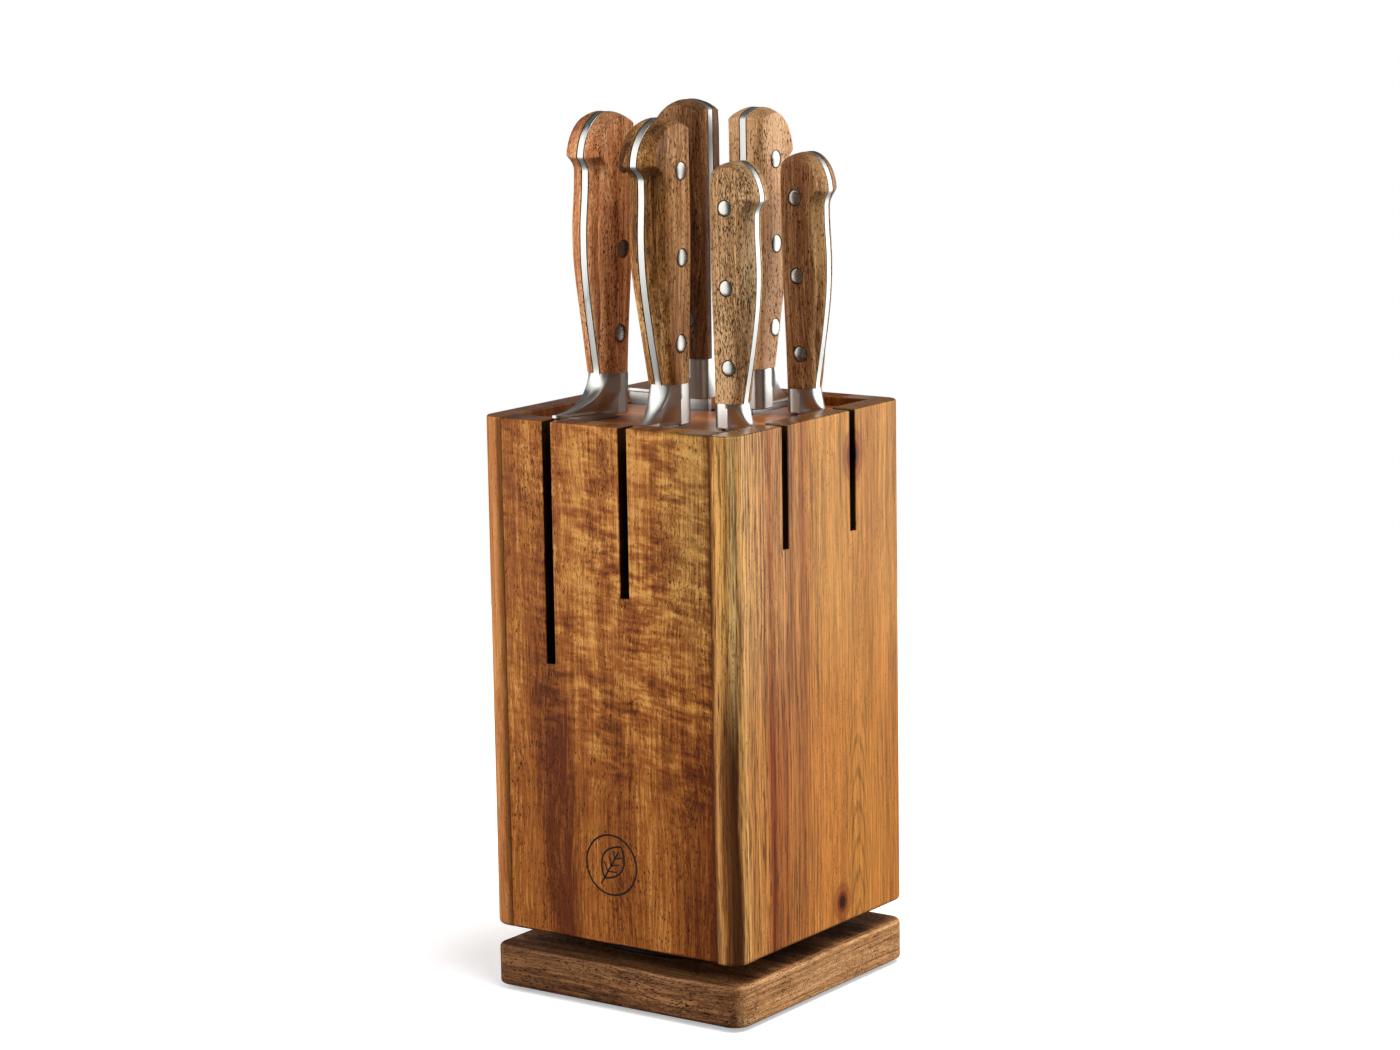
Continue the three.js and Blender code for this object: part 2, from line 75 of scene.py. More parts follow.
# turn: direction of the edge, in degrees from +X. hook and rivet_u: depths of the finger hook and
# of the rivets. heel, blade: depth and length of the blade. sweep: how late the bolster flares to
# the heel. taper: how late the edge curves up to the tip, whose depth is tip. notch: depth of the
# opening in the wall that the edge faces.
KNIVES = [
    Spec(name="chef_knife", turn=-90, handle=LARGE, hook=28, rivet_u=8.5,
         heel=44.2, sweep=2, blade=200, taper=1.8, tip=6, notch=104),
    Spec(name="carving_knife", turn=-90, handle=LARGE, hook=29.8, rivet_u=8.5,
         heel=27, sweep=1.5, blade=200, taper=4, tip=6, notch=72),
    Spec(name="utility_knife", turn=0, handle=SMALL, hook=22, rivet_u=8.4,
         heel=16, sweep=1.5, blade=130, taper=3.5, tip=4, notch=52),
    Spec(name="paring_knife", turn=0, handle=SMALL, hook=21.6, rivet_u=8.4,
         heel=16, sweep=1.5, blade=90, taper=2.6, tip=4, notch=52),
    Spec(name="santoku_knife", turn=180, handle=LARGE, hook=28.4, rivet_u=8.5,
         heel=46, sweep=2, blade=180, taper=5, tip=29, notch=72),
    Spec(name="bread_knife", turn=90, handle=LARGE, hook=27, rivet_u=11.5,
         heel=34, sweep=1.7, blade=200, taper=6, tip=12, notch=72),
]

HALF_STEEL = 1.6  # half thickness of the tang
SLOT_HALF = 2.25
SLOT_PLAY = 0.5  # the slots start this far behind the spines


# ---- small helpers ----
def lerp(a, b, t):
    return a + (b - a) * t


def clamp(x, low=0.0, high=1.0):
    return max(low, min(high, x))


def smoothstep(x, low, high):
    t = clamp((x - low) / (high - low))
    return t * t * (3 - 2 * t)


def spread(count):
    """count + 1 numbers from 0 to 1."""
    return [i / count for i in range(count + 1)]


def quarter(count):
    """count + 1 angles from 0 to a right angle."""
    return [t * math.pi / 2 for t in spread(count)]


def hermite(stations, values, x):
    """A smooth curve through the values, whose slope at each is that between its neighbours."""
    last = len(stations) - 1
    k = max(i for i in range(last) if stations[i] <= x)

    def slope(a, b):
        return (values[b] - values[a]) / (stations[b] - stations[a])

    run = stations[k + 1] - stations[k]
    t = (x - stations[k]) / run
    bend = (1 - t) * slope(max(k - 1, 0), k + 1) - t * slope(k, min(k + 2, last))
    return lerp(values[k], values[k + 1], smoothstep(t, 0, 1)) + run * t * (1 - t) * bend


def make_face(bm, verts):
    """A face of the given vertices, or none if fewer than three of them differ."""
    corners = list(dict.fromkeys(verts))
    if len(corners) > 2:
        bm.faces.new(corners)


def skin(bm, loops, closed=True):
    """Quads between neighbouring loops of vertices."""
    for a, b in zip(loops, loops[1:]):
        count = len(a)
        for i in range(count if closed else count - 1):
            j = (i + 1) % count
            make_face(bm, [a[i], a[j], b[j], b[i]])


def tube(bm, loops):
    """A skin over closed loops, with a face at either end."""
    skin(bm, loops)
    make_face(bm, loops[0][::-1])
    make_face(bm, loops[-1])


def cylinder(bm, radius, depth, matrix):
    bmesh.ops.create_cone(bm, cap_ends=True, segments=48, radius1=radius, radius2=radius,
                          depth=depth, matrix=matrix)


def add_object(name, data):
    obj = bpy.data.objects.new(name, data)
    bpy.context.scene.collection.objects.link(obj)
    return obj


def build(name, bm, scale=MM):
    """An object made of a bmesh, which is freed."""
    bmesh.ops.recalc_face_normals(bm, faces=bm.faces)
    bmesh.ops.scale(bm, vec=(scale,) * 3, verts=bm.verts)
    mesh = bpy.data.meshes.new(name)
    bm.to_mesh(mesh)
    bm.free()
    return add_object(name, mesh)


def at(x, y, z):
    """A shift given in millimetres."""
    return Matrix.Translation(Vector((x, y, z)) * MM)


def boolean(obj, other, operation):
    """Joins or cuts obj with the object other, which is then removed."""
    modifier = obj.modifiers.new("cut", "BOOLEAN")
    modifier.operation = operation
    modifier.solver = "EXACT"
    modifier.object = other
    bpy.context.view_layer.update()
    evaluated = obj.evaluated_get(bpy.context.evaluated_depsgraph_get())
    mesh = bpy.data.meshes.new_from_object(evaluated)
    obj.modifiers.clear()
    obj.data = mesh
    bpy.data.objects.remove(other)


def settle(obj, body, slot, *nodes, look=None, smooth=None):
    """Puts a piece under its body and hides the CAD nodes it stands for. Its material has the
    slot's name, unless look names another. It is shaded smooth, with edges sharper than the angle
    smooth left hard."""
    if smooth:
        obj.data.shade_smooth()
        obj.data.set_sharp_from_angle(angle=math.radians(smooth))
    obj.data.materials.clear()
    obj.data.materials.append(LOOKS[look or slot])
    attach(obj, body)
    if nodes:
        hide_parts(*nodes)


def turned(profile, sides):
    """A bmesh of revolution about Z. The profile is a list of (radius, z), closed on itself
    unless it starts and ends on the axis."""
    bm = bmesh.new()
    turns = [2 * math.pi * k / sides for k in range(sides)]
    rings = [[bm.verts.new((r * math.cos(a), r * math.sin(a), z)) for a in turns]
             for r, z in profile]
    skin(bm, rings if profile[0][0] == profile[-1][0] == 0 else rings + rings[:1])
    bmesh.ops.remove_doubles(bm, verts=bm.verts, dist=0.0001)
    return bm


def arc(centre, radius, start, end, steps):
    """Points of an arc in degrees, as (x, y)."""
    angles = [math.radians(lerp(start, end, t)) for t in spread(steps)]
    return [(centre[0] + radius * math.cos(a), centre[1] + radius * math.sin(a)) for a in angles]


# ---- shader helpers ----
def linear(rgb):
    """A colour given as 0 to 255 display values, as linear light."""
    def channel(value):
        c = value / 255
        return c / 12.92 if c <= 0.04045 else ((c + 0.055) / 1.055) ** 2.4
    return (*map(channel, rgb), 1.0)


LOOKS = {}  # the materials by name


class Shader:
    """Short calls that build a material. Patterns are sampled in millimetres of object space."""

    def __init__(self, name):
        self.material = LOOKS[name] = bpy.data.materials.new(name)
        self.material.use_nodes = True
        self.tree = self.material.node_tree
        self.surface = self.tree.nodes["Principled BSDF"]
        place = self.add("ShaderNodeTexCoord").outputs["Object"]
        self.point = self.vector("MULTIPLY", place, (1 / MM,) * 3)

    def put(self, socket, value):
        if isinstance(value, bpy.types.NodeSocket):
            self.tree.links.new(value, socket)
        else:
            socket.default_value = value

    def add(self, kind, inputs=None, **settings):
        """A node with its settings, and its inputs by name or number."""
        node = self.tree.nodes.new(kind)
        for key, value in settings.items():
            setattr(node, key, value)
        for key, value in (inputs or {}).items():
            self.put(node.inputs[key], value)
        return node

    def vector(self, operation, a, b):
        return self.add("ShaderNodeVectorMath", {0: a, 1: b}, operation=operation).outputs[0]

    def math(self, operation, a, b=0.0):
        return self.add("ShaderNodeMath", {0: a, 1: b}, operation=operation).outputs[0]

    def total(self, *values):
        return reduce(lambda a, b: self.math("ADD", a, b), values)

    def times(self, *values):
        return reduce(lambda a, b: self.math("MULTIPLY", a, b), values)

    def minus(self, a, b):
        return self.math("SUBTRACT", a, b)

    def size(self, value):
        return self.math("ABSOLUTE", value)

    def hypotenuse(self, a, b):
        return self.math("SQRT", self.total(self.times(a, a), self.times(b, b)))

    def axes(self, point):
        return self.add("ShaderNodeSeparateXYZ", {0: point}).outputs

    def combine(self, x, y, z):
        return self.add("ShaderNodeCombineXYZ", {0: x, 1: y, 2: z}).outputs[0]

    def noise(self, point, scale, detail=2.0, roughness=0.5, distortion=0.0, seed=0.0):
        """Noise whose scale is given for each axis, in features per millimetre."""
        stretched = self.vector("MULTIPLY", point, scale)
        if seed:
            stretched = self.vector("ADD", stretched, (seed, seed * 1.7, seed * 0.6))
        inputs = {"Vector": stretched, "Scale": 1.0, "Detail": detail, "Roughness": roughness,
                  "Distortion": distortion}
        return self.add("ShaderNodeTexNoise", inputs).outputs["Fac"]

    def step(self, value, low, high, out_low=0.0, out_high=1.0):
        inputs = {"Value": value, "From Min": low, "From Max": high, "To Min": out_low,
                  "To Max": out_high}
        return self.add("ShaderNodeMapRange", inputs, interpolation_type="SMOOTHSTEP").outputs[0]

    def hill(self, value, centre, width):
        """1 at the centre, falling off smoothly to 0 at the width either way."""
        return self.step(self.size(self.minus(value, centre)), 0.0, width, 1.0, 0.0)

    def swing(self, value, amount):
        """Noise about 0.5 turned into a swing about 0."""
        return self.times(self.minus(value, 0.5), amount)

    def mix(self, factor, a, b, blend="MIX"):
        inputs = {"Factor": factor, 6: a, 7: b}
        return self.add("ShaderNodeMix", inputs, data_type="RGBA", blend_type=blend).outputs[2]

    def tint(self, colour, rgb, mask, share=None):
        """The colour with a display colour over it, where the mask says and as far as the share."""
        factor = self.times(mask, share) if share else mask
        return self.mix(factor, colour, linear(rgb))

    def ramp(self, value, stops):
        """Colours along a value. Stops are (position, display colour)."""
        node = self.add("ShaderNodeValToRGB", {0: value})
        elements = node.color_ramp.elements
        while len(elements) < len(stops):
            elements.new(0.5)
        for element, (position, colour) in zip(elements, stops):
            element.position = position
            element.color = linear(colour)
        return node.outputs[0]

    def bump(self, height, strength, distance):
        inputs = {"Strength": strength, "Distance": distance * MM, "Height": height}
        self.put(self.surface.inputs["Normal"], self.add("ShaderNodeBump", inputs).outputs[0])

    def set(self, **sockets):
        for key, value in sockets.items():
            self.put(self.surface.inputs[key.replace("_", " ")], value)


# ---- wood ----
SLOT_SHADE_AND_GLUE_COLOUR = (12, 6, 3)  # painted shade on the walls of the notches and slots, and the dark glue lines beside the tangs


def wood(name, tones, grain="z", seed=0.0, bands=1.0, lines=0.6, fibre=0.3, pores=0.8, crowd=0.5,
         gloss=0.45, coat=0.0, shine=0.1, ends=0.0, slot_shade_and_glue=None, wall=None, detail=None):
    """Open-grained hardwood. tones: its dark, middle and light colours. grain: the axis of the
    fibres. bands, lines, fibre: contrast of the broad figure, of fine streaks and of fibres.
    pores, crowd: how dark the pores are, and how many. ends: how much darker the end grain is.
    sawn(shader): 1 where the colour is made near black: painted shade on the walls of the slots,
    and the dark glue lines beside a tang. wall: axis and direction a wall faces; its rim is
    darker, and its inside and the walls of its notches are darkened as painted shade.
    detail(shader, value): returns a changed value, and a function that repaints the colour."""
    s = Shader(name)
    x, y, z = s.axes(s.point)
    point = s.combine(y, z, x) if grain == "x" else s.point
    drift = s.noise(point, (0.03, 0.03, 0.012), 1, seed=seed + 5)
    warped = s.vector("ADD", point, s.combine(s.swing(drift, 14), s.swing(drift, 14), 0))
    broad = s.noise(warped, (0.08, 0.08, 0.006), 3, 0.55, seed=seed)
    streak = s.noise(warped, (0.8, 0.8, 0.013), 4, 0.7, seed=seed + 2)
    hair = s.noise(warped, (2.4, 2.4, 0.1), 2, 0.7, seed=seed + 3)
    value = s.total(0.5, s.swing(broad, bands), s.swing(streak, lines), s.swing(hair, fibre))
    repaint = None
    if detail:
        value, repaint = detail(s, value)
    dark, middle, light = tones
    colour = s.ramp(value, [(0.14, dark), (0.5, middle), (0.86, light)])
    if repaint:
        colour = repaint(colour)
    cells = s.noise(warped, (2.3, 2.3, 0.55), 1, 0.5, 0.15, seed=seed + 7)
    patch = s.noise(point, (0.1, 0.1, 0.03), 2, seed=seed + 9)
    limit = s.total(0.78 - 0.2 * crowd, s.swing(patch, -0.25))
    pit = s.step(s.minus(cells, limit), -0.03, 0.04)
    colour = s.tint(colour, (30, 16, 9), pit, pores)
    rough = s.total(gloss, s.swing(hair, 0.15), s.times(pit, 0.2))
    if ends:
        facing = s.axes(s.add("ShaderNodeTexCoord").outputs["Normal"])[2]
        level = s.step(s.size(facing), 0.15, 0.8, 0.0, ends)
        colour = s.tint(colour, [c * 0.55 for c in dark], level)
    if wall:
        rim, cut, inside = wall_parts(s, *wall)
        colour = s.tint(colour, (58, 33, 19), rim, 0.72)
        # painted shade on the inner face, in the recess below the rim
        colour = s.tint(colour, (64, 34, 18), inside, 0.5)
        # painted shade: the walls of the notches are made near black
        colour = s.tint(colour, SLOT_SHADE_AND_GLUE_COLOUR, cut, 0.95)
        rough = s.minus(rough, s.times(rim, 0.2))
    # painted shade on the walls of the plate's slots, and the dark glue lines beside a tang
    if slot_shade_and_glue:
        colour = s.tint(colour, SLOT_SHADE_AND_GLUE_COLOUR, slot_shade_and_glue(s), 0.94)
    s.set(Base_Color=colour, Coat_Weight=coat, Coat_Roughness=0.2, IOR=1.45)
    s.set(Specular_IOR_Level=shine, Roughness=rough)
    s.bump(s.total(s.times(hair, 0.3), s.times(pit, -1.0)), 0.4, 0.08)


FACE = 65.0  # a wall's outer face, from the middle
WALL_DEPTH = 11.1  # where a wall's inner face begins
RIM_Z = 251.25  # where the rounding of the rim begins
SLOTS_END = 51  # the notches lie within this distance of a wall's middle
PLATE_Z = 247.3  # just below the plate's top face


def wall_parts(s, axis, outward):
    """Masks of a wall's rim, of the walls of its notches, and of its inner face. The notch walls
    and the inner face take painted shade.
    """
    place = s.axes(s.point)
    depth = s.total(s.times(place[axis], -outward), FACE)
    rim = s.step(place[2], RIM_Z - 0.2, RIM_Z + 0.2)
    below = s.step(place[2], RIM_Z + 0.15, RIM_Z - 0.25)
    along = s.step(s.size(place[1 - axis]), SLOTS_END + 1, SLOTS_END - 1)
    within = s.times(s.step(depth, 0.15, 0.5), s.step(depth, WALL_DEPTH + 0.2, WALL_DEPTH - 0.2))
    # the inner face below the rim, which takes painted shade
    inside = s.times(s.step(depth, WALL_DEPTH - 0.2, WALL_DEPTH + 0.2), below)
    return rim, s.times(within, along, below), inside


def plate_slot_shade(s):
    """Painted shade, made near black, on the walls of the slots: what lies below the plate's top
    face.
    """
    return s.step(s.axes(s.point)[2], PLATE_Z + 0.15, PLATE_Z - 0.2)


def glue_line(s):
    """The dark line along each side of a knife's tang."""
    return s.step(s.size(s.axes(s.point)[1]), 2.1, 1.85)


def curly(s, value):
    """The front panel: rolling cross bands in its upper middle, and dark streaks lower down."""
    x, _, z = s.axes(s.point)
    sway = s.noise(s.point, (0.025, 0.025, 0.015), 1, seed=31)
    level = s.total(z, s.swing(sway, 8), s.times(x, 0.1))
    wide = s.noise(s.combine(s.times(x, 0.05), 0.0, level), (1, 1, 0.11), 2, 0.5, seed=17)
    fine = s.noise(s.combine(s.times(x, 0.11), 0.0, level), (1, 1, 0.4), 2, 0.6, seed=19)
    fade = s.noise(s.point, (0.05, 0.05, 0.03), 1, seed=3)
    region = s.times(s.step(x, -46, 10, 0.3, 1.0), s.step(z, 70, 140),
                     s.step(fade, 0.35, 0.6, 0.45, 1.0))
    ripple = s.total(-0.05, s.swing(wide, 1.0), s.swing(fine, 1.25))
    curl = s.times(s.total(0.1, region), ripple)
    bend = s.total(x, s.times(s.minus(z, 120), 0.06))
    upper = s.total(s.step(z, 60, 240, -0.1, 0.06),
                    s.times(s.step(x, -54, -12, -0.16, 0.1), s.step(z, 110, 180)))
    value = s.total(value, curl, upper, s.times(s.hill(x, 53.5, 3.5), -0.3))
    for place, centre, width, top, full, amount in (
            (bend, -29, 15, 190, 130, -0.2), (x, 44, 11, 150, 90, -0.24),
            (bend, 17, 15, 190, 110, 0.14)):
        streak = s.times(s.hill(place, centre, width), s.step(z, top, full), amount)
        value = s.total(value, streak)
    olive = s.times(s.step(x, 20, 50), s.step(z, 120, 210, 0.0, 0.5))

    def repaint(colour):
        tone = s.mix(s.step(value, 0.2, 0.9), linear((96, 66, 24)), linear((216, 170, 94)))
        return s.mix(olive, colour, tone)

    return value, repaint


# Colours across the right panel: places in mm from its front corner, with the display colours.
BANDS_START = -12
BANDS_RUN = 142
# The palest cream about the rounded front corner, from -1.5 to 5 mm in the upper bands and from 3.6
# to 7 mm in the lower ones, is light wood with a painted highlight on it.
UPPER_BANDS = (
    (-11.5, 90, 54, 26), (-10.2, 168, 116, 62), (-8.5, 218, 164, 98), (-6, 212, 162, 98),
    (-3.5, 200, 150, 84), (-1.5, 234, 188, 126), (0.5, 246, 212, 158), (2.5, 220, 168, 108),
    (5, 230, 180, 118), (10, 218, 166, 106), (16, 214, 160, 102), (24, 204, 146, 92),
    (26.5, 168, 92, 34), (28.5, 196, 138, 84), (37, 202, 144, 90), (43, 152, 98, 56),
    (47, 200, 140, 80), (51, 160, 96, 52), (55, 194, 130, 68), (62, 210, 150, 82),
    (80, 212, 152, 82), (100, 202, 138, 70), (115, 210, 150, 82), (130, 192, 130, 64),
)
LOWER_BANDS = (
    (-11.5, 128, 86, 48), (-9.5, 196, 140, 84), (-7.5, 150, 98, 54), (-5, 110, 68, 37),
    (-1.5, 80, 46, 25), (1.6, 92, 54, 29), (3.6, 208, 154, 94), (7, 228, 174, 108),
    (10, 186, 126, 72), (14, 206, 144, 80), (22, 188, 124, 66), (26.2, 144, 68, 30),
    (27.4, 112, 50, 22), (29.5, 172, 104, 54), (36, 160, 94, 48), (42, 190, 124, 66),
    (50, 170, 106, 56), (58, 198, 130, 66), (75, 200, 130, 62), (90, 206, 140, 68),
    (115, 200, 132, 64), (130, 184, 116, 54),
)


def heartwood(s, value):
    """The right panel: dark heartwood low at the front corner, and light wood with a painted
    highlight on it just behind the corner, then reddish streaks that calm down into honey-coloured
    wood toward the back, with a knot low down and one at the rear slot."""
    x, y, z = s.axes(s.point)
    run = s.total(x, y)  # 0 at the front corner, 130 at the back one, -11.5 at the front joint
    sway = s.noise(s.point, (0.012, 0.012, 0.007), 2, seed=12)
    ragged = s.noise(s.combine(run, 0.0, z), (0.45, 1.0, 0.02), 4, 0.8, seed=33)
    along = s.total(run, s.swing(sway, 5), s.swing(ragged, 7))
    unit = s.math("DIVIDE", s.minus(along, BANDS_START), BANDS_RUN)
    upper, lower = (
        s.ramp(unit, [((place - BANDS_START) / BANDS_RUN, colour) for place, *colour in stops])
        for stops in (UPPER_BANDS, LOWER_BANDS))
    # both band tables carry a painted highlight just behind the front corner
    board = s.mix(s.step(z, 185, 110), upper, lower)
    sheet = s.combine(s.total(run, s.swing(sway, 5)), 0.0, z)
    coarse = s.noise(sheet, (0.28, 1.0, 0.006), 2, 0.6, seed=4)
    fine = s.noise(sheet, (0.85, 1.0, 0.015), 4, 0.88, seed=27)
    dash = s.noise(sheet, (1.1, 1.0, 0.055), 2, 0.7, seed=9)
    calm = s.step(run, 34, 80, 1.0, 0.5)

    # arched rings in the rear part, and rings about the two knots
    off = s.minus(y, 27)
    arch = s.total(z, s.times(off, off, 0.5), s.swing(coarse, 14))
    arch = s.step(s.math("SINE", s.times(arch, 0.42)), 0.2, 1.0)
    arch = s.times(arch, s.hill(y, 27, 19), s.step(z, 140, 105))

    def knot(place_y, place_z, radius, stretch):
        return s.hypotenuse(s.math("DIVIDE", s.minus(y, place_y), radius),
                            s.math("DIVIDE", s.minus(z, place_z), radius * stretch))

    knots = knot(13.7, 38.8, 4.0, 1.2), knot(25.2, 232, 4.6, 1.5)
    tail = s.times(s.hill(y, 14.6, 3.6), s.step(z, 105, 50))

    def repaint(_):
        tone = s.total(value, s.times(calm, s.swing(fine, 4.8)),
                       s.times(calm, s.swing(coarse, 1.1)), s.times(arch, -0.3))
        result = s.mix(1.0, board, s.step(tone, -0.1, 1.1, 0.5, 1.44), "MULTIPLY")
        result = s.mix(1.0, result, (1.0, 0.93, 0.76, 1.0), "MULTIPLY")
        result = s.tint(result, (96, 52, 20), calm, s.step(tone, 0.34, -0.1, 0.0, 0.7))
        flecks = s.step(run, 62, 30, 0.2, 0.8)
        result = s.tint(result, (76, 42, 24), s.step(dash, 0.58, 0.66), flecks)
        result = s.tint(result, (128, 66, 32), tail, 0.4)
        for rings in knots:
            wave = s.step(s.math("SINE", s.times(rings, 9.0)), -0.4, 1.0, 0.6, 0.95)
            result = s.tint(result, (138, 60, 20), s.step(rings, 2.2, 1.0), wave)
            result = s.tint(result, (44, 16, 8), s.step(rings, 0.95, 0.45, 0.0, 0.95))
        return result

    return value, repaint


def pale_end(s, value):
    """The turntable board: paler, with level streaks, at its right edge."""
    x = s.axes(s.point)[0]
    streak = s.noise(s.point, (0.5, 0.02, 0.9), 3, 0.75, seed=5)
    fleck = s.noise(s.point, (1.0, 0.25, 1.6), 2, 0.6, seed=15)
    level = s.total(0.5, s.swing(streak, 1.5), s.swing(fleck, 0.8))
    pale = s.ramp(level, [(0.14, (112, 70, 40)), (0.5, (200, 142, 88)), (0.86, (240, 194, 140))])

    def repaint(colour):
        return s.mix(s.step(x, 61, 64.8), colour, pale)

    return value, repaint


AMBER = ((100, 44, 14), (170, 98, 38), (230, 164, 84))
GOLDEN = ((136, 76, 34), (184, 120, 62), (216, 160, 96))
COPPER = ((110, 54, 22), (190, 118, 62), (234, 170, 100))
GLOSSY = ((96, 46, 16), (164, 90, 34), (214, 138, 64))
WALNUT = ((54, 31, 17), (116, 74, 44), (176, 124, 78))
# name, seed, contrast of the bands, number of pores, and the dark, middle and light colours
HANDLES = (
    ("chef_handle", 51, 1.2, 0.85, ((112, 60, 32), (208, 134, 84), (244, 194, 140))),
    ("carving_handle", 62, 1.7, 0.85, ((74, 42, 18), (164, 108, 56), (232, 180, 118))),
    ("utility_handle", 73, 1.0, 1.05, ((116, 76, 42), (206, 156, 104), (248, 212, 162))),
    ("paring_handle", 84, 1.1, 0.8, ((84, 50, 28), (150, 98, 60), (224, 176, 118))),
    ("santoku_handle", 95, 1.5, 0.8, ((56, 33, 17), (120, 76, 43), (188, 138, 88))),
    ("bread_handle", 106, 0.9, 0.8, ((158, 106, 64), (228, 174, 122), (250, 212, 164))),
)


def make_woods():
    wood("acacia_front", AMBER, seed=1, bands=0.8, lines=1.0, fibre=0.75, crowd=0.75,
         wall=(1, -1), detail=curly)
    wood("acacia_back", AMBER, seed=23, bands=1.1, lines=0.8, wall=(1, 1))
    wood("acacia_side", GOLDEN, seed=8, bands=0.6, lines=0.9, fibre=0.8, pores=0.6, crowd=0.45,
         wall=(0, 1), detail=heartwood)
    wood("acacia_left", COPPER, seed=43, bands=0.9, lines=0.9, pores=0.6, wall=(0, -1))
    wood("acacia_plate", GLOSSY, grain="x", seed=3, lines=0.8, gloss=0.34, coat=0.08, shine=0.25,
         pores=0.5, crowd=0.3, slot_shade_and_glue=plate_slot_shade)
    wood("acacia_floor", GOLDEN, grain="x", seed=6, gloss=0.6)
    wood("acacia_base", WALNUT, grain="x", seed=14, bands=1.2, lines=1.5, fibre=0.6, pores=0.95,
         crowd=0.9, detail=pale_end)
    for name, seed, bands, crowd, tones in HANDLES:
        wood(name, tones, seed=seed, bands=bands, crowd=crowd, lines=1.1, fibre=0.8, pores=0.9,
             ends=0.5, slot_shade_and_glue=glue_line)


# ---- metals, lacquer and rubber ----
def steel(name, colour, roughness, brush=(0.05, 6.0, 6.0), anisotropy=0.0, ground=None, tang=None):
    """Satin steel, brushed along the axis whose brush number is small. ground is the colour of
    the blade, below the bolster, and tang that of the tang above it."""
    s = Shader(name)
    lines = s.noise(s.point, brush, 3, 0.6)
    cloud = s.noise(s.point, (0.15, 0.15, 0.15), 2)
    tone = s.mix(s.step(cloud, 0.3, 0.7), linear(colour), linear([c * 0.95 for c in colour]))
    if ground:
        height = s.axes(s.point)[2]
        tone = s.tint(tone, ground, s.step(height, -1.0, -4.0))
        tone = s.tint(tone, tang, s.step(height, 10, 24))
    s.set(Base_Color=tone, Metallic=1.0, Anisotropic=anisotropy, Anisotropic_Rotation=0.25,
          Tangent=s.add("ShaderNodeTangent", axis="Z").outputs[0],
          Roughness=s.total(roughness, s.swing(lines, 0.16), s.swing(cloud, 0.02)))
    s.bump(lines, 0.05, 0.05)


def lacquer(name, colour, roughness, metallic=0.0):
    """A dark coating or rubber with a fine texture."""
    s = Shader(name)
    grain = s.noise(s.point, (3, 3, 3), 2)
    s.set(Base_Color=s.mix(grain, linear(colour), linear([c * 1.5 for c in colour])),
          Roughness=s.total(roughness, s.swing(grain, 0.2)), Metallic=metallic)
    s.bump(grain, 0.2, 0.03)


make_woods()
steel("blade_steel", (182, 180, 174), 0.36, anisotropy=0.75, ground=(134, 133, 130),
      tang=(146, 145, 141))
steel("rivet_steel", (134, 132, 127), 0.26, brush=(5, 5, 5))
steel("ball_steel", (160, 162, 165), 0.25, brush=(2, 2, 2))
steel("screw_steel", (190, 188, 180), 0.35, brush=(3, 3, 3))
lacquer("bearing_black", (26, 26, 28), 0.4, 0.6)
lacquer("foot_rubber", (22, 22, 22), 0.85)
lacquer("laser_mark", (10, 5, 3), 1.0)


# ---- knives ----
# Knife axes: x runs from the spine toward the edge, y across the blade, z up; z is 0 at the
# underside of the bolster. h is a height above the bolster.
GRIP_END = 0.77  # where the grip turns out into the hook, as a share of the handle's length
GRIP_STATIONS = (0, 0.22, 0.4, 0.55, 0.7, GRIP_END)
GRIP_FULLNESS = (0, 0.55, 0.9, 1, 0.92, 0.92)
APEX = 11  # highest point of the butt, from the spine
BUTT_DROP = 4.5  # the butt falls this far from its apex to the spine
DOME_POWER = 1.9  # roundness of the butt toward the hook
FALL_POWER = 1.6  # and toward the spine
BUTT_EDGE_R = 0.8  # edge rounding of the butt
BELLY_EDGE_R = 3.0  # edge rounding of the grip's belly away from the bolster
CROWN = 1.9  # the butt's face falls this far from the tang to its edges
GRIP_CROWN = 2.3  # and the grip's belly this far
LAID = Matrix.Rotation(math.pi / 2, 4, "X")  # turns a pin across the blade
HOOK_SOFTNESS = 0.8  # the hook's point is averaged over this height either way


def knife_frame(knife):
    """Matrix from the knife's axes to the object's, found from its slide and its first rivet."""
    handle = knife.handle
    joint = next(j for j in frame["joints"] if j["child"] == knife.name)
    up = Vector(joint["axis"]).normalized()
    turn = math.radians(knife.turn)
    across = up.cross(Vector((math.cos(turn), math.sin(turn), 0))).normalized()
    rotation = Matrix((across.cross(up), across, up)).transposed()
    low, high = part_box(knife.name + "_rivet_1")
    rivet = Vector((knife.rivet_u, 0, handle.bolster + GLUE + handle.rivet_z[0]))
    origin = (low + high) / 2 - rotation @ rivet * MM
    return Matrix.Translation(origin) @ rotation.to_4x4()


def sharp_belly(handle, hook, h):
    top = handle.length
    ledge = GRIP_END * top
    swell = handle.grip - handle.neck
    if h <= ledge:
        return handle.neck + swell * hermite(GRIP_STATIONS, GRIP_FULLNESS, max(h, 0) / top)
    if h <= handle.hook_z:
        level = (h - ledge) / (handle.hook_z - ledge)
        return lerp(handle.neck + swell * GRIP_FULLNESS[-1], hook, level ** 2)
    level = min((h - handle.hook_z) / (top - handle.hook_z), 1)
    return APEX + (hook - APEX) * (1 - level ** DOME_POWER) ** (1 / DOME_POWER)


def belly_depth(handle, hook, h):
    """Depth of the handle at height h, with the hook's point rounded off."""
    if abs(h - handle.hook_z) > 2 * HOOK_SOFTNESS:
        return sharp_belly(handle, hook, h)
    offsets = [lerp(-HOOK_SOFTNESS, HOOK_SOFTNESS, t) for t in spread(8)]
    return sum(sharp_belly(handle, hook, h + o) for o in offsets) / len(offsets)


def spine_depth(handle, h):
    level = clamp((h - handle.length + BUTT_DROP) / BUTT_DROP)
    return APEX * (1 - (1 - level ** FALL_POWER) ** (1 / FALL_POWER))


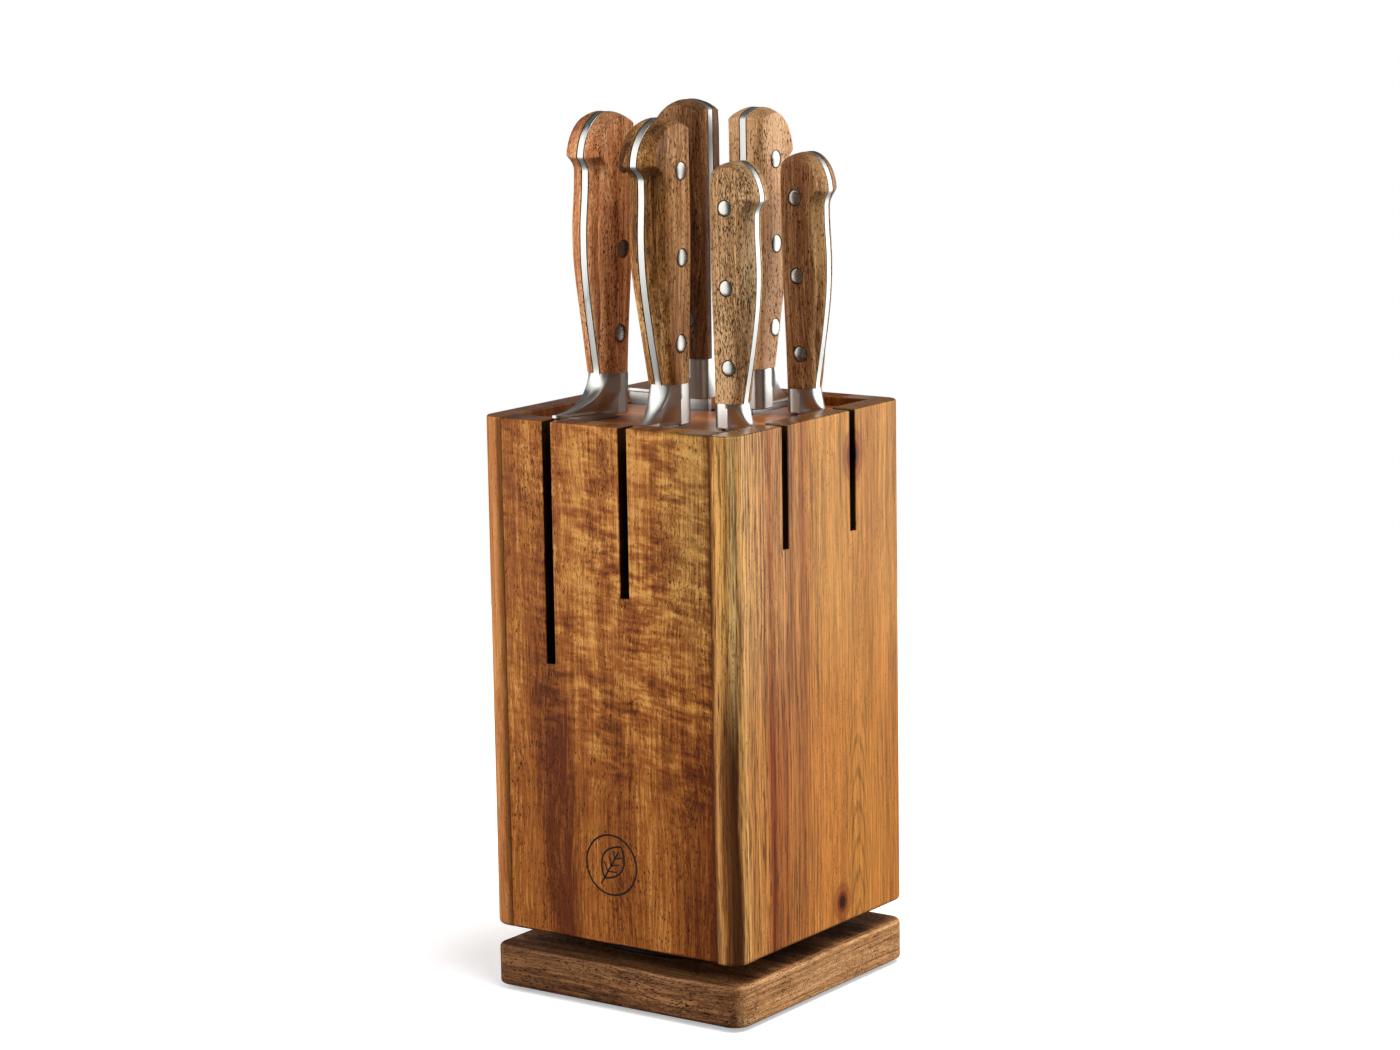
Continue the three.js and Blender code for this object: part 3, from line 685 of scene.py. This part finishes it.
def half_thickness(handle, h):
    level = h / handle.length
    swell = (handle.half_grip - handle.half_neck) * smoothstep(level, 0, 0.6)
    fall = (handle.half_grip - handle.half_butt) * smoothstep(level, 0.6, 0.85)
    return handle.half_neck + swell - fall


def butt_start(handle, h):
    """0 along the grip's spine, rising to 1 just below the butt."""
    return smoothstep(h, handle.length - 13, handle.length - 3)


def rounding(handle, h, edge):
    """Radius of a scale's edge at height h."""
    if edge == "spine":
        return lerp(handle.spine_r, BUTT_EDGE_R, butt_start(handle, h))
    top = handle.length
    grip = handle.belly_r * half_thickness(handle, h) / handle.half_grip
    grip = lerp(grip, BELLY_EDGE_R, smoothstep(h, 0, 0.3 * top))
    return lerp(grip, BUTT_EDGE_R, smoothstep(h, GRIP_END * top, handle.hook_z))


def crown(handle, h, edge):
    """How far the outline falls from the tang to the scale's edge."""
    if edge == "spine":
        return CROWN * butt_start(handle, h)
    top = handle.length
    grip = GRIP_CROWN * smoothstep(h, 0, 0.3 * top)
    return lerp(grip, CROWN, smoothstep(h, GRIP_END * top, handle.hook_z))


def handle_heights(handle):
    """Heights from the bolster to the butt's apex, close together where the outline turns."""
    top, hook_z = handle.length, handle.hook_z
    ledge = GRIP_END * top
    heights = [ledge * t for t in spread(36)]
    heights += [lerp(ledge, hook_z + 1.5, t) for t in spread(14)[1:]]
    butt = [lerp(hook_z, top, math.sin(a) ** (2 / DOME_POWER)) for a in quarter(26)]
    return heights + [h for h in butt if h > hook_z + 1.8]


def normals(points, side):
    """Outward normals of an outline's points, which run upward; side is 1 at the belly and -1
    at the spine. The lowest is level, so that the slab's end is flat."""
    result = []
    for before, after in zip(points, points[2:]):
        way = after - before
        result.append((Vector((way.y, -way.x)) * side).normalized())
    return [Vector((side, 0)), *result, Vector((0, 1))]


def handle_slab(handle, hook, layers, columns, low=0.0):
    """A slab with the handle's outline. Each layer is a function of a height and of an edge,
    belly or spine, that gives how far across it lies and how far in from the outline."""
    heights = handle_heights(handle)
    count = len(heights)
    belly = [Vector((belly_depth(handle, hook, h), h)) for h in heights]
    spine = [Vector((spine_depth(handle, h), h)) for h in heights]
    belly[-1] = spine[-1] = Vector((APEX, handle.length))
    back = list(zip(spine, normals(spine, -1), heights, ["spine"] * count))[:-1]
    chain = [*zip(belly, normals(belly, 1), heights, ["belly"] * count), *reversed(back)]
    bm = bmesh.new()
    loops = []
    for layer in layers:
        loop = []
        for point, normal, h, edge in chain:
            across, inset = layer(h, edge)
            u, z = point - normal * inset
            loop.append(bm.verts.new((u, across, z if h > 0 else low)))
        loops.append(loop)
    skin(bm, loops, closed=False)
    rungs = []
    for loop in (loops[0], loops[-1]):
        ladder = []
        for a, b in zip(loop[:count - 1], loop[::-1]):
            inner = [bm.verts.new(a.co.lerp(b.co, t)) for t in spread(columns)[1:-1]]
            ladder.append([a, *inner, b])
        ladder.append([loop[count - 1]] * (columns + 1))
        skin(bm, ladder, closed=False)
        rungs.append(ladder[0])
    ends = [loop[0] for loop in loops[1:-1]], [loop[-1] for loop in loops[1:-1]]
    make_face(bm, rungs[0][::-1] + ends[0] + rungs[1] + ends[1][::-1])
    return bm


def scale_layers(handle, side):
    """Layers of a wooden scale from the tang outward: a small chamfer, the face, which is crowned
    at the butt, then the rounding."""
    chamfer = 0.3
    inner = HALF_STEEL + GLUE

    def layer(h, edge, share, angle):
        radius = rounding(handle, h, edge)
        across = lerp(inner + chamfer, half_thickness(handle, h) - radius, share)
        inset = crown(handle, h, edge) * share ** 2 + radius * (1 - math.cos(angle))
        return side * (across + radius * math.sin(angle)), inset

    steps = [(t, 0) for t in spread(4)[:-1]] + [(1, a) for a in quarter(8)]
    faces = [lambda h, edge, step=step: layer(h, edge, *step) for step in steps]
    return [lambda h, edge: (side * inner, chamfer)] + faces


def tang_layers():
    chamfer = 0.15
    places = [(-HALF_STEEL, chamfer), (chamfer - HALF_STEEL, 0), (HALF_STEEL - chamfer, 0),
              (HALF_STEEL, chamfer)]
    return [lambda h, edge, place=place: place for place in places]


def rivet_drills(knife, extra):
    """The three rivet holes as one object in the knife's axes."""
    handle = knife.handle
    bm = bmesh.new()
    for h in handle.rivet_z:
        spot = Matrix.Translation((knife.rivet_u, 0, h)) @ LAID
        cylinder(bm, handle.rivet_r + extra, 2 * handle.half_grip + 6, spot)
    return build("drills", bm)


def make_scales(knife, matrix):
    handle, body = knife.handle, knife.name
    for side, word in ((1, "left"), (-1, "right")):
        layers = scale_layers(handle, side)
        grip = build(f"{body}_grip_{word}", handle_slab(handle, knife.hook, layers, 6))
        boolean(grip, rivet_drills(knife, 0.32), "DIFFERENCE")
        grip.matrix_world = matrix @ at(0, 0, handle.bolster + GLUE)
        slot = body.replace("knife", "handle")
        settle(grip, body, slot, f"{body}_scale_{word}", smooth=38)


def make_rivets(knife, matrix):
    """Pins with softly domed heads that stand just proud of the wood."""
    handle, body = knife.handle, knife.name
    dome, sink = 0.5, 0.35
    radius = handle.rivet_r
    for i, h in enumerate(handle.rivet_z, 1):
        half = half_thickness(handle, h)
        angles = [t * math.radians(80) for t in spread(8)]
        head = [(radius * math.sin(a), half + dome * (math.cos(a) - sink)) for a in angles]
        profile = head + [(radius, half - sink)]
        profile += [(r, -z) for r, z in reversed(profile)]
        pin = build(f"{body}_pin_{i}", turned(profile, 40))
        spot = at(knife.rivet_u, 0, handle.bolster + GLUE + h)
        pin.matrix_world = matrix @ spot @ LAID
        settle(pin, body, "rivet_steel", f"{body}_rivet_{i}", smooth=50)


HEEL_HALF = 1.7  # half thickness of the bolster where it meets the heel
HOLLOW_RUN = 9  # run of the hollow beside the thick part of the bolster
HEEL_RISE = 1.5  # height of the heel's end face


def bolster_section(knife, drop):
    """Half of the bolster's level section, from the spine to the middle of its belly face. drop
    is 0 at the scales and 1 at the heel."""
    handle = knife.handle
    half, neck, sweep = handle.half_neck, handle.neck, knife.sweep
    depth = neck + (knife.heel - neck) * (1 - (1 - drop ** sweep) ** (1 / sweep))
    face = lerp(0.72 * half, HEEL_HALF - 0.2, drop ** 2)  # half width of the belly face
    bulge = lerp(0.1 * neck, 0.3, drop)
    arris = depth - bulge
    thick = 0.6 * neck
    run = min(HOLLOW_RUN, arris - thick)
    plate = face + 0.2 * drop
    corner = 3.3
    section = arc((corner, half - corner), corner, 180, 90, 6)
    section += [(lerp(corner, thick, t), half) for t in spread(3)[1:]]
    power = lerp(1.15, 2.1, smoothstep(drop, 0, 0.8))
    section += [(thick + run * t, lerp(plate, half, (1 - t) ** power)) for t in spread(10)[1:]]
    section += [(lerp(thick + run, arris, t), lerp(plate, face, t)) for t in spread(5)[1:]]
    section += [(arris + bulge * math.sin(a), face * math.cos(a)) for a in quarter(7)[1:]]
    return section


def mirrored(sections):
    """A bmesh of level sections. Each is a height and half an outline, from spine to belly."""
    bm = bmesh.new()
    tube(bm, [[bm.verts.new((u, y, z)) for u, y in half + [(u, -y) for u, y in half[::-1]]]
              for z, half in sections])
    bmesh.ops.remove_doubles(bm, verts=bm.verts, dist=0.002)
    return bm


def bolster_mesh(knife):
    sections = []
    for a in quarter(40):
        drop = math.sin(a) ** (2 / knife.sweep)
        height = lerp(knife.handle.bolster, HEEL_RISE, drop)
        sections.append((height, bolster_section(knife, drop)))
    foot = bolster_section(knife, 1.0)
    chamfer = 0.35
    deepest = foot[-1][0] - chamfer
    worn = [(clamp(u, chamfer, deepest), max(y - chamfer, 0)) for u, y in foot]
    return mirrored(sections + [(0.4, foot), (0.0, worn)])


BLADE_HALF = 1.3  # half thickness of the blade at its spine
BLADE_SPINE = 2.5  # the blade's spine stands this far inside the bolster's
BEVEL = 1.6  # depth of the sharpened bevel
TOOTH = 6.5  # pitch of the bread knife's scallops


def blade_mesh(knife):
    """A flat-ground blade with a sharpened bevel, and scallops on the bread knife."""
    teeth = knife.name == "bread_knife"
    heel = knife.heel - 0.4
    sections = []
    for t in [0, *spread(240 if teeth else 70)]:
        level = 1 - (1 - t) ** 1.25 if not teeth else t
        edge = knife.tip + (heel - knife.tip) * (1 - level ** knife.taper)
        back = BLADE_SPINE + (knife.tip - BLADE_SPINE - 0.8) * level ** 6
        z = -knife.blade * level if sections else 1.0
        if teeth and 0.04 < level < 0.97:
            edge -= 1.1 * abs(math.sin(math.pi * knife.blade * level / TOOTH))
        half = BLADE_HALF * (1 - 0.45 * level)
        bevel = min(BEVEL, 0.4 * (edge - back))
        sections.append((z, [(back, half - 0.25), (back + 0.25, half),
                             (edge - bevel, 0.35 * half), (edge, 0.06)]))
    return mirrored(sections)


def make_forging(knife, matrix):
    """Tang, bolster and blade as one piece of steel."""
    handle, body = knife.handle, knife.name
    bm = handle_slab(handle, knife.hook, tang_layers(), 1, low=-1.0)
    bmesh.ops.translate(bm, verts=bm.verts, vec=(0, 0, handle.bolster))
    forging = build(f"{body}_forging", bm)
    drills = rivet_drills(knife, 0.0)
    drills.location.z = (handle.bolster + GLUE) * MM
    boolean(forging, drills, "DIFFERENCE")
    boolean(forging, build("bolster", bolster_mesh(knife)), "UNION")
    boolean(forging, build("blade", blade_mesh(knife)), "UNION")
    forging.matrix_world = matrix
    settle(forging, body, "blade_steel", f"{body}_steel", smooth=30)


for knife in KNIVES:
    placed = knife_frame(knife)
    make_scales(knife, placed)
    make_rivets(knife, placed)
    make_forging(knife, placed)


# ---- block ----
SIDES = {"front": -90, "right": 0, "back": 90, "left": 180}  # outward directions, in degrees
CORNER_R = 7.5
CORNER_STEPS = 12
CORNERED = ("right", "left")  # the walls that carry the rounded corners


def box_mm(node):
    return [Vector(corner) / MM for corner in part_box(node)]


def side_axes(side):
    """Directions along a wall and out of it."""
    out = math.radians(SIDES[side])
    along = out + math.pi / 2
    return Vector((math.cos(along), math.sin(along))), Vector((math.cos(out), math.sin(out)))


def knife_places(side):
    """Where the slots of one side lie: their place along the wall, the spine's distance out from
    the middle, and the notch's depth."""
    along, out = side_axes(side)
    slots = [(knife_frame(knife).translation.to_2d() / MM, knife.notch)
             for knife in KNIVES if knife.turn == SIDES[side]]
    return sorted((slot.dot(along), slot.dot(out), notch) for slot, notch in slots)


def round_edges(obj, width, steps=4):
    """Rounds an object's edges. The rule width gives a width in mm for an edge's two ends."""
    mesh = obj.data
    widths = [width(*(mesh.vertices[v].co / MM for v in edge.vertices)) for edge in mesh.edges]
    layer = mesh.attributes.new("bevel_weight_edge", "FLOAT", "EDGE")
    for item, value in zip(layer.data, widths):
        item.value = value / max(widths)
    bevel = obj.modifiers.new("round", "BEVEL")
    bevel.limit_method = "WEIGHT"
    bevel.width = max(widths) * MM
    bevel.segments = steps
    mesh.shade_smooth()
    obj.modifiers.new("normals", "WEIGHTED_NORMAL").keep_sharp = True


def prism(outline, low, high):
    """A bmesh of an outline in x and y, from height low to high."""
    bm = bmesh.new()
    tube(bm, [[bm.verts.new((x, y, z)) for x, y in outline] for z in (low, high)])
    return bm


NEAR = 0.01  # tolerance for points on a plane, in mm


def wall_mesh(side, low, high, reach, inner, outer):
    """A wall with its notches. It is drawn lying down, with its outline in x and y, and the
    extrusion running out of the block."""
    outline = [(reach, low), (reach, high)]
    for place, _, notch in reversed(knife_places(side)):
        a, b = place + SLOT_HALF, place - SLOT_HALF
        outline += [(a, high), (a, high - notch), (b, high - notch), (b, high)]
    outline += [(-reach, high), (-reach, low)]
    bm = prism(outline, inner, outer)
    if side in CORNERED:
        corners = [e for e in bm.edges
                   if all(abs(v.co.z - outer) < NEAR and abs(abs(v.co.x) - reach) < NEAR
                          for v in e.verts)
                   and abs(e.verts[0].co.x - e.verts[1].co.x) < NEAR]
        bmesh.ops.bevel(bm, geom=corners, offset=CORNER_R, segments=CORNER_STEPS, profile=0.5,
                        affect="EDGES")
    along, out = side_axes(side)
    upright = Matrix(((along.x, 0, out.x), (along.y, 0, out.y), (0, 1, 0))).to_4x4()
    bmesh.ops.transform(bm, matrix=upright, verts=bm.verts)
    return bm


def make_wall(side):
    low, high = box_mm(f"{side}_panel")
    along, out = side_axes(side)
    reach = abs(low.to_2d().dot(along))
    inner, face = sorted((low.to_2d().dot(out), high.to_2d().dot(out)))
    wall = build(f"{side}_wall", wall_mesh(side, low.z, high.z, reach, inner, face))

    def width(a, b):
        depths = [p.to_2d().dot(out) for p in (a, b)]
        places = [p.to_2d().dot(along) for p in (a, b)]
        place = abs(places[0])
        level = abs(a.z - b.z) < NEAR
        across = level and abs(places[0] - places[1]) < NEAR
        outside = all(d > face - NEAR or d > face - CORNER_R - NEAR and abs(p) > reach - CORNER_R
                      for d, p in zip(depths, places))
        if level and a.z > high.z - NEAR:
            if across and place > reach - NEAR:
                return 0.9 if side in CORNERED else 0.0
            return 0.9 if outside and not across else 0.5
        if level and a.z < low.z + NEAR:
            return 2.0 if (side in CORNERED if across else outside) else 0.0
        notch = min(depths) > face - NEAR and place < reach - CORNER_R - 0.5
        inside = max(depths) < face - CORNER_R - 1 and a.z > low.z + 1 and place < reach - 1
        return 0.35 if notch or inside else 0.0

    round_edges(wall, width)
    slot = "acacia_side" if side in CORNERED else "acacia_front"
    look = slot if side in ("front", "right") else f"acacia_{side}"
    settle(wall, "block", slot, f"{side}_panel", look=look)


def make_slot_plate():
    low, high = box_mm("slot_plate")
    half = high.x
    outline = []
    for side in SIDES:
        along, out = side_axes(side)
        outline.append(tuple(out * half - along * half))
        for place, spine, _ in knife_places(side):
            a, b, root = place - SLOT_HALF, place + SLOT_HALF, spine - SLOT_PLAY
            outline += [tuple(along * u + out * v)
                        for u, v in ((a, half), (a, root), (b, root), (b, half))]
    plate = build("recessed_slot_plate", prism(outline, low.z, high.z))

    def width(a, b):
        rim = all(max(abs(p.x), abs(p.y)) > half - NEAR for p in (a, b))
        return 0.45 if min(a.z, b.z) > high.z - NEAR and not rim else 0.0

    round_edges(plate, width, 3)
    settle(plate, "block", "acacia_plate", "slot_plate")


def rounded_square(half, radius, steps):
    points = []
    for k in range(4):
        centre = Matrix.Rotation(k * math.pi / 2, 2) @ Vector((half - radius, half - radius))
        points += arc(centre, radius, 90 * k, 90 * k + 90, steps)
    return points


ACCESS = 41 * math.sqrt(0.5)  # x and y of the access hole, on the circle of the screws
BOARD_HOLE_R = 6
PLATE_HOLE_R = 3


def drill(obj, radius, low, high):
    """Cuts the hole through which the screws are reached."""
    bm = bmesh.new()
    cylinder(bm, radius, high - low, Matrix.Translation((ACCESS, ACCESS, (low + high) / 2)))
    boolean(obj, build("drill", bm), "DIFFERENCE")


def make_base():
    low, high = box_mm("base_board")
    outline = rounded_square(high.x, CORNER_R, CORNER_STEPS)
    base = build("turntable_board", prism(outline, low.z, high.z))
    drill(base, BOARD_HOLE_R, low.z - 5, high.z + 5)

    def width(a, b):
        rim = all(p.to_2d().length > 0.9 * high.x for p in (a, b))
        if not rim or abs(a.z - b.z) > NEAR:
            return 0.0
        return 1.6 if a.z > (low.z + high.z) / 2 else 1.2

    round_edges(base, width)
    settle(base, "base", "acacia_base", "base_board")


for wall_side in SIDES:
    make_wall(wall_side)
make_slot_plate()
make_base()


# ---- turntable and feet ----
BEARING_BORE = 14
TRACK_R = 32
BALL_R = 2.5
BALL_COUNT = 10
SHEET = 1.5


def bearing_profile(top, rim):
    """Section of a bearing plate: a sheet with a grooved track, and a rim given by its points."""
    lip = [(5.2, SHEET), (4, SHEET + 0.6), (4, top - 0.4), (3.6, top)]
    groove = [(2 * math.cos(a), top - 1.1 * math.sin(a)) for a in [math.pi * t for t in spread(8)]]
    track = lip + groove + [(-r, z) for r, z in reversed(lip)]
    return ([(BEARING_BORE, 0)] + rim + [(TRACK_R + r, z) for r, z in track]
            + [(BEARING_BORE, SHEET)])


def make_bearing():
    for part, body in (("lower", "base"), ("upper", "block")):
        low, high = box_mm(f"{part}_bearing_plate")
        radius = high.x
        if part == "lower":
            seat, flip = low.z, 1
            rim = [(radius - 0.4, 0), (radius, 0.4), (radius, SHEET - 0.4), (radius - 0.4, SHEET)]
        else:
            seat, flip = high.z, -1
            skirt = high.z - low.z
            rim = arc((radius - 1.6, 1.6), 1.6, -90, 0, 5) + [(radius, skirt - 0.5)]
            rim += arc((radius - 0.7, skirt - 0.5), 0.7, 0, 180, 6)[1:]
            rim += [(radius - 1.4, SHEET + 1)] + arc((radius - 2.4, SHEET + 1), 1, 0, -90, 3)[1:]
        middle = box_mm("ball_ring")[0].z + BALL_R
        top = abs(middle - seat) - BALL_R + 0.6
        profile = [(r, seat + flip * z) for r, z in bearing_profile(top, rim)]
        race = build(f"{part}_race", turned(profile, 96))
        if part == "lower":
            drill(race, PLATE_HOLE_R, seat - 3, seat + 5)
        settle(race, body, "bearing_black", f"{part}_bearing_plate", smooth=35)


def make_ball_ring():
    low, high = box_mm("ball_ring")
    middle = (low.z + high.z) / 2
    bottom, top, rim = middle - 0.45, middle + 0.45, TRACK_R + 3.2
    bm = turned([(BEARING_BORE, bottom), (rim, bottom), (rim, top), (BEARING_BORE, top)], 96)
    for k in range(BALL_COUNT):
        turn = Matrix.Rotation(2 * math.pi * k / BALL_COUNT, 4, "Z")
        spot = turn @ Matrix.Translation((TRACK_R, 0, middle))
        bmesh.ops.create_icosphere(bm, subdivisions=3, radius=BALL_R, matrix=spot)
    ring = build("ball_retainer", bm)
    settle(ring, "ball_ring", "ball_steel", "ball_ring", smooth=40)


def make_screws():
    """Pan-head screws with a cross recess. A screw points up, its head's underside at z = 0."""
    head_r, head_h, shank, pitch, tip = 3.0, 1.6, 1.5, 0.95, 9.2
    dome = [(head_r * math.sin(a), -head_h * math.cos(a)) for a in quarter(8)]
    thread = []
    for k in range(8):
        thread += [(shank, 0.6 + pitch * k), (shank - 0.35, 1.05 + pitch * k)]
    profile = dome + [(shank, 0.0)] + thread + [(0, tip)]
    for part, body in (("upper", "block"), ("lower", "base")):
        for i in range(1, 5):
            low, high = box_mm(f"{part}_screw_{i}")
            screw = build(f"{part}_pan_screw_{i}", turned(profile, 32))
            for size in ((3.2, 0.7, 1.6), (0.7, 3.2, 1.6)):
                bm = bmesh.new()
                bar = Matrix.Translation((0, 0, -head_h)) @ Matrix.Diagonal((*size, 1))
                bmesh.ops.create_cube(bm, size=1, matrix=bar)
                boolean(screw, build("cross", bm), "DIFFERENCE")
            x, y, _ = (low + high) / 2
            if part == "upper":
                screw.matrix_world = at(x, y, low.z + head_h)
            else:
                screw.matrix_world = at(x, y, high.z - head_h) @ Matrix.Rotation(math.pi, 4, "X")
            settle(screw, body, "screw_steel", f"{part}_screw_{i}", smooth=40)


def make_feet():
    for i in range(1, 5):
        low, high = box_mm(f"foot_{i}")
        radius = (high.x - low.x) / 2
        profile = [(0, 0.5), (radius - 3, 0.5), (radius - 2.4, 0), (radius - 0.7, 0)]
        profile += arc((radius - 0.7, 0.7), 0.7, -90, 0, 4)[1:]
        profile += [(radius - 0.3, high.z), (0, high.z)]
        foot = build(f"rubber_foot_{i}", turned(profile, 48))
        x, y, _ = (low + high) / 2
        foot.matrix_world = at(x, y, 0)
        settle(foot, "base", "foot_rubber", f"foot_{i}", smooth=35)


make_bearing()
make_ball_ring()
make_screws()
make_feet()
floor_panel = frame["nodes"]["floor_panel"].data
floor_panel.materials.clear()
floor_panel.materials.append(LOOKS["acacia_floor"])


# ---- generic mark ----
def ribbon(bm, points, width, face_y, closed=False):
    """A thin strip along points in x and z, laid on the front face."""
    half, proud, sunk = width / 2, 0.03, 0.2
    last = len(points) - 1
    loops = []
    for i, point in enumerate(points):
        before = points[i - 1] if closed or i else point
        after = points[(i + 1) % len(points)] if closed or i < last else point
        way = (Vector(after) - Vector(before)).normalized()
        side = Vector((-way.y, way.x)) * half
        a, b = Vector(point) + side, Vector(point) - side
        loops.append([bm.verts.new((p.x, y, p.y)) for p, y in (
            (a, face_y - proud), (b, face_y - proud), (b, face_y + sunk), (a, face_y + sunk))])
    if closed:
        skin(bm, loops + loops[:1])
    else:
        tube(bm, loops)


def make_mark():
    """A leaf in a ring, burnt into the lower part of the front wall."""
    face_y = box_mm("front_panel")[0].y
    bm = bmesh.new()
    lean = Matrix.Rotation(math.radians(-32), 2)
    centre = Vector((0, 64))

    def line(points, width):
        ribbon(bm, [tuple(centre + lean @ Vector(p)) for p in points], width, face_y)

    ring = [tuple(centre + Vector(p)) for p in arc((0, 0), 13, 0, 360, 80)[:-1]]
    ribbon(bm, ring, 0.85, face_y, closed=True)
    for s in (1, -1):
        line([(s * 5.6 * math.sin(math.pi * t) ** 0.8, lerp(-7, 10, t)) for t in spread(28)], 0.8)
    line([(0, lerp(-10.5, 7.4, t)) for t in spread(6)], 0.8)
    for k in range(3):
        root, reach = -3.6 + 3.5 * k, 3.8 - 0.6 * k
        for s in (1, -1):
            line([(s * t * reach, root + 2.7 * t) for t in spread(4)], 0.6)
    mark = build("leaf_mark", bm)
    settle(mark, "block", "acacia_front", look="laser_mark")


make_mark()


# ---- floor, lights and camera ----
FLOOR_R = 0.85
FLOOR_GREY = (0.3, 0.3, 0.3, 1)
FADE = (220, 620)  # from the middle, in mm


def make_floor():
    """A pale disc that shows the object's soft shadow, and fades into the white backdrop."""
    bm = bmesh.new()
    bmesh.ops.create_circle(bm, cap_ends=True, segments=128, radius=FLOOR_R)
    floor = build("floor", bm, scale=1.0)
    s = Shader("floor")
    x, y, _ = s.axes(s.point)
    reach = s.hypotenuse(x, y)
    fade = s.step(reach, *FADE)
    s.set(Base_Color=s.mix(fade, (0.86, 0.86, 0.86, 1), FLOOR_GREY), Roughness=0.8,
          Specular_IOR_Level=0.0, Emission_Color=(1, 1, 1, 1),
          Emission_Strength=s.step(reach, *FADE, 0.4, 1.0))
    dim = s.add("ShaderNodeBsdfDiffuse", {"Color": FLOOR_GREY})
    seen = s.add("ShaderNodeLightPath").outputs["Is Camera Ray"]
    both = s.add("ShaderNodeMixShader", {0: seen, 1: dim.outputs[0], 2: s.surface.outputs[0]})
    s.put(s.tree.nodes["Material Output"].inputs["Surface"], both.outputs[0])
    floor.data.materials.append(s.material)


def view_from(azimuth, elevation, height, distance, right=0):
    """Matrix of something that looks at the object's axis at a height, from a distance in mm.
    Azimuth 0 is in front and 90 at +X; right shifts it sideways."""
    turn = Matrix.Rotation(math.radians(azimuth), 4, "Z")
    tip = Matrix.Rotation(math.radians(90 - elevation), 4, "X")
    return at(0, 0, height) @ turn @ tip @ at(right, 0, distance)


def make_light(name, kind, power, matrix):
    light = bpy.data.lights.new(name, kind)
    light.energy = power
    add_object(name, light).matrix_world = matrix
    return light


def make_lights():
    for name, azimuth, size, power, height in (("left_softbox", -44, (1.1, 3.0), 46, 750),
                                               ("right_softbox", 144, (1.1, 2.0), 34, 300)):
        light = make_light(name, "AREA", power, view_from(azimuth, 0, height, 1700))
        light.shape = "RECTANGLE"
        light.size, light.size_y = size
    make_light("sun", "SUN", 2.2, view_from(85, 66, 200, 3000)).angle = math.radians(30)


def make_world():
    """White behind the object, and a dim studio in its reflections."""
    world = bpy.data.worlds.new("studio")
    bpy.context.scene.world = world
    world.use_nodes = True
    nodes, links = world.node_tree.nodes, world.node_tree.links
    mix = nodes.new("ShaderNodeMix")
    mix.data_type = "RGBA"
    camera_ray = nodes.new("ShaderNodeLightPath").outputs["Is Camera Ray"]
    links.new(camera_ray, mix.inputs["Factor"])
    mix.inputs[6].default_value = (0.16, 0.16, 0.165, 1)
    mix.inputs[7].default_value = (1.0, 1.0, 1.0, 1)
    links.new(mix.outputs[2], nodes["Background"].inputs["Color"])


def make_camera():
    """The view from the front right, a little above the block."""
    camera = bpy.data.cameras.new("camera")
    camera.lens, camera.sensor_width, camera.clip_end = 97.43, 36, 50
    obj = add_object("camera", camera)
    roll = Matrix.Rotation(math.radians(-0.942), 4, "Z")
    obj.matrix_world = view_from(35.316, 10.068, 200.022, 1630.709, right=2.213) @ roll
    bpy.context.scene.camera = obj


make_floor()
make_world()
make_lights()
make_camera()
bpy.context.scene.view_settings.view_transform = "Standard"
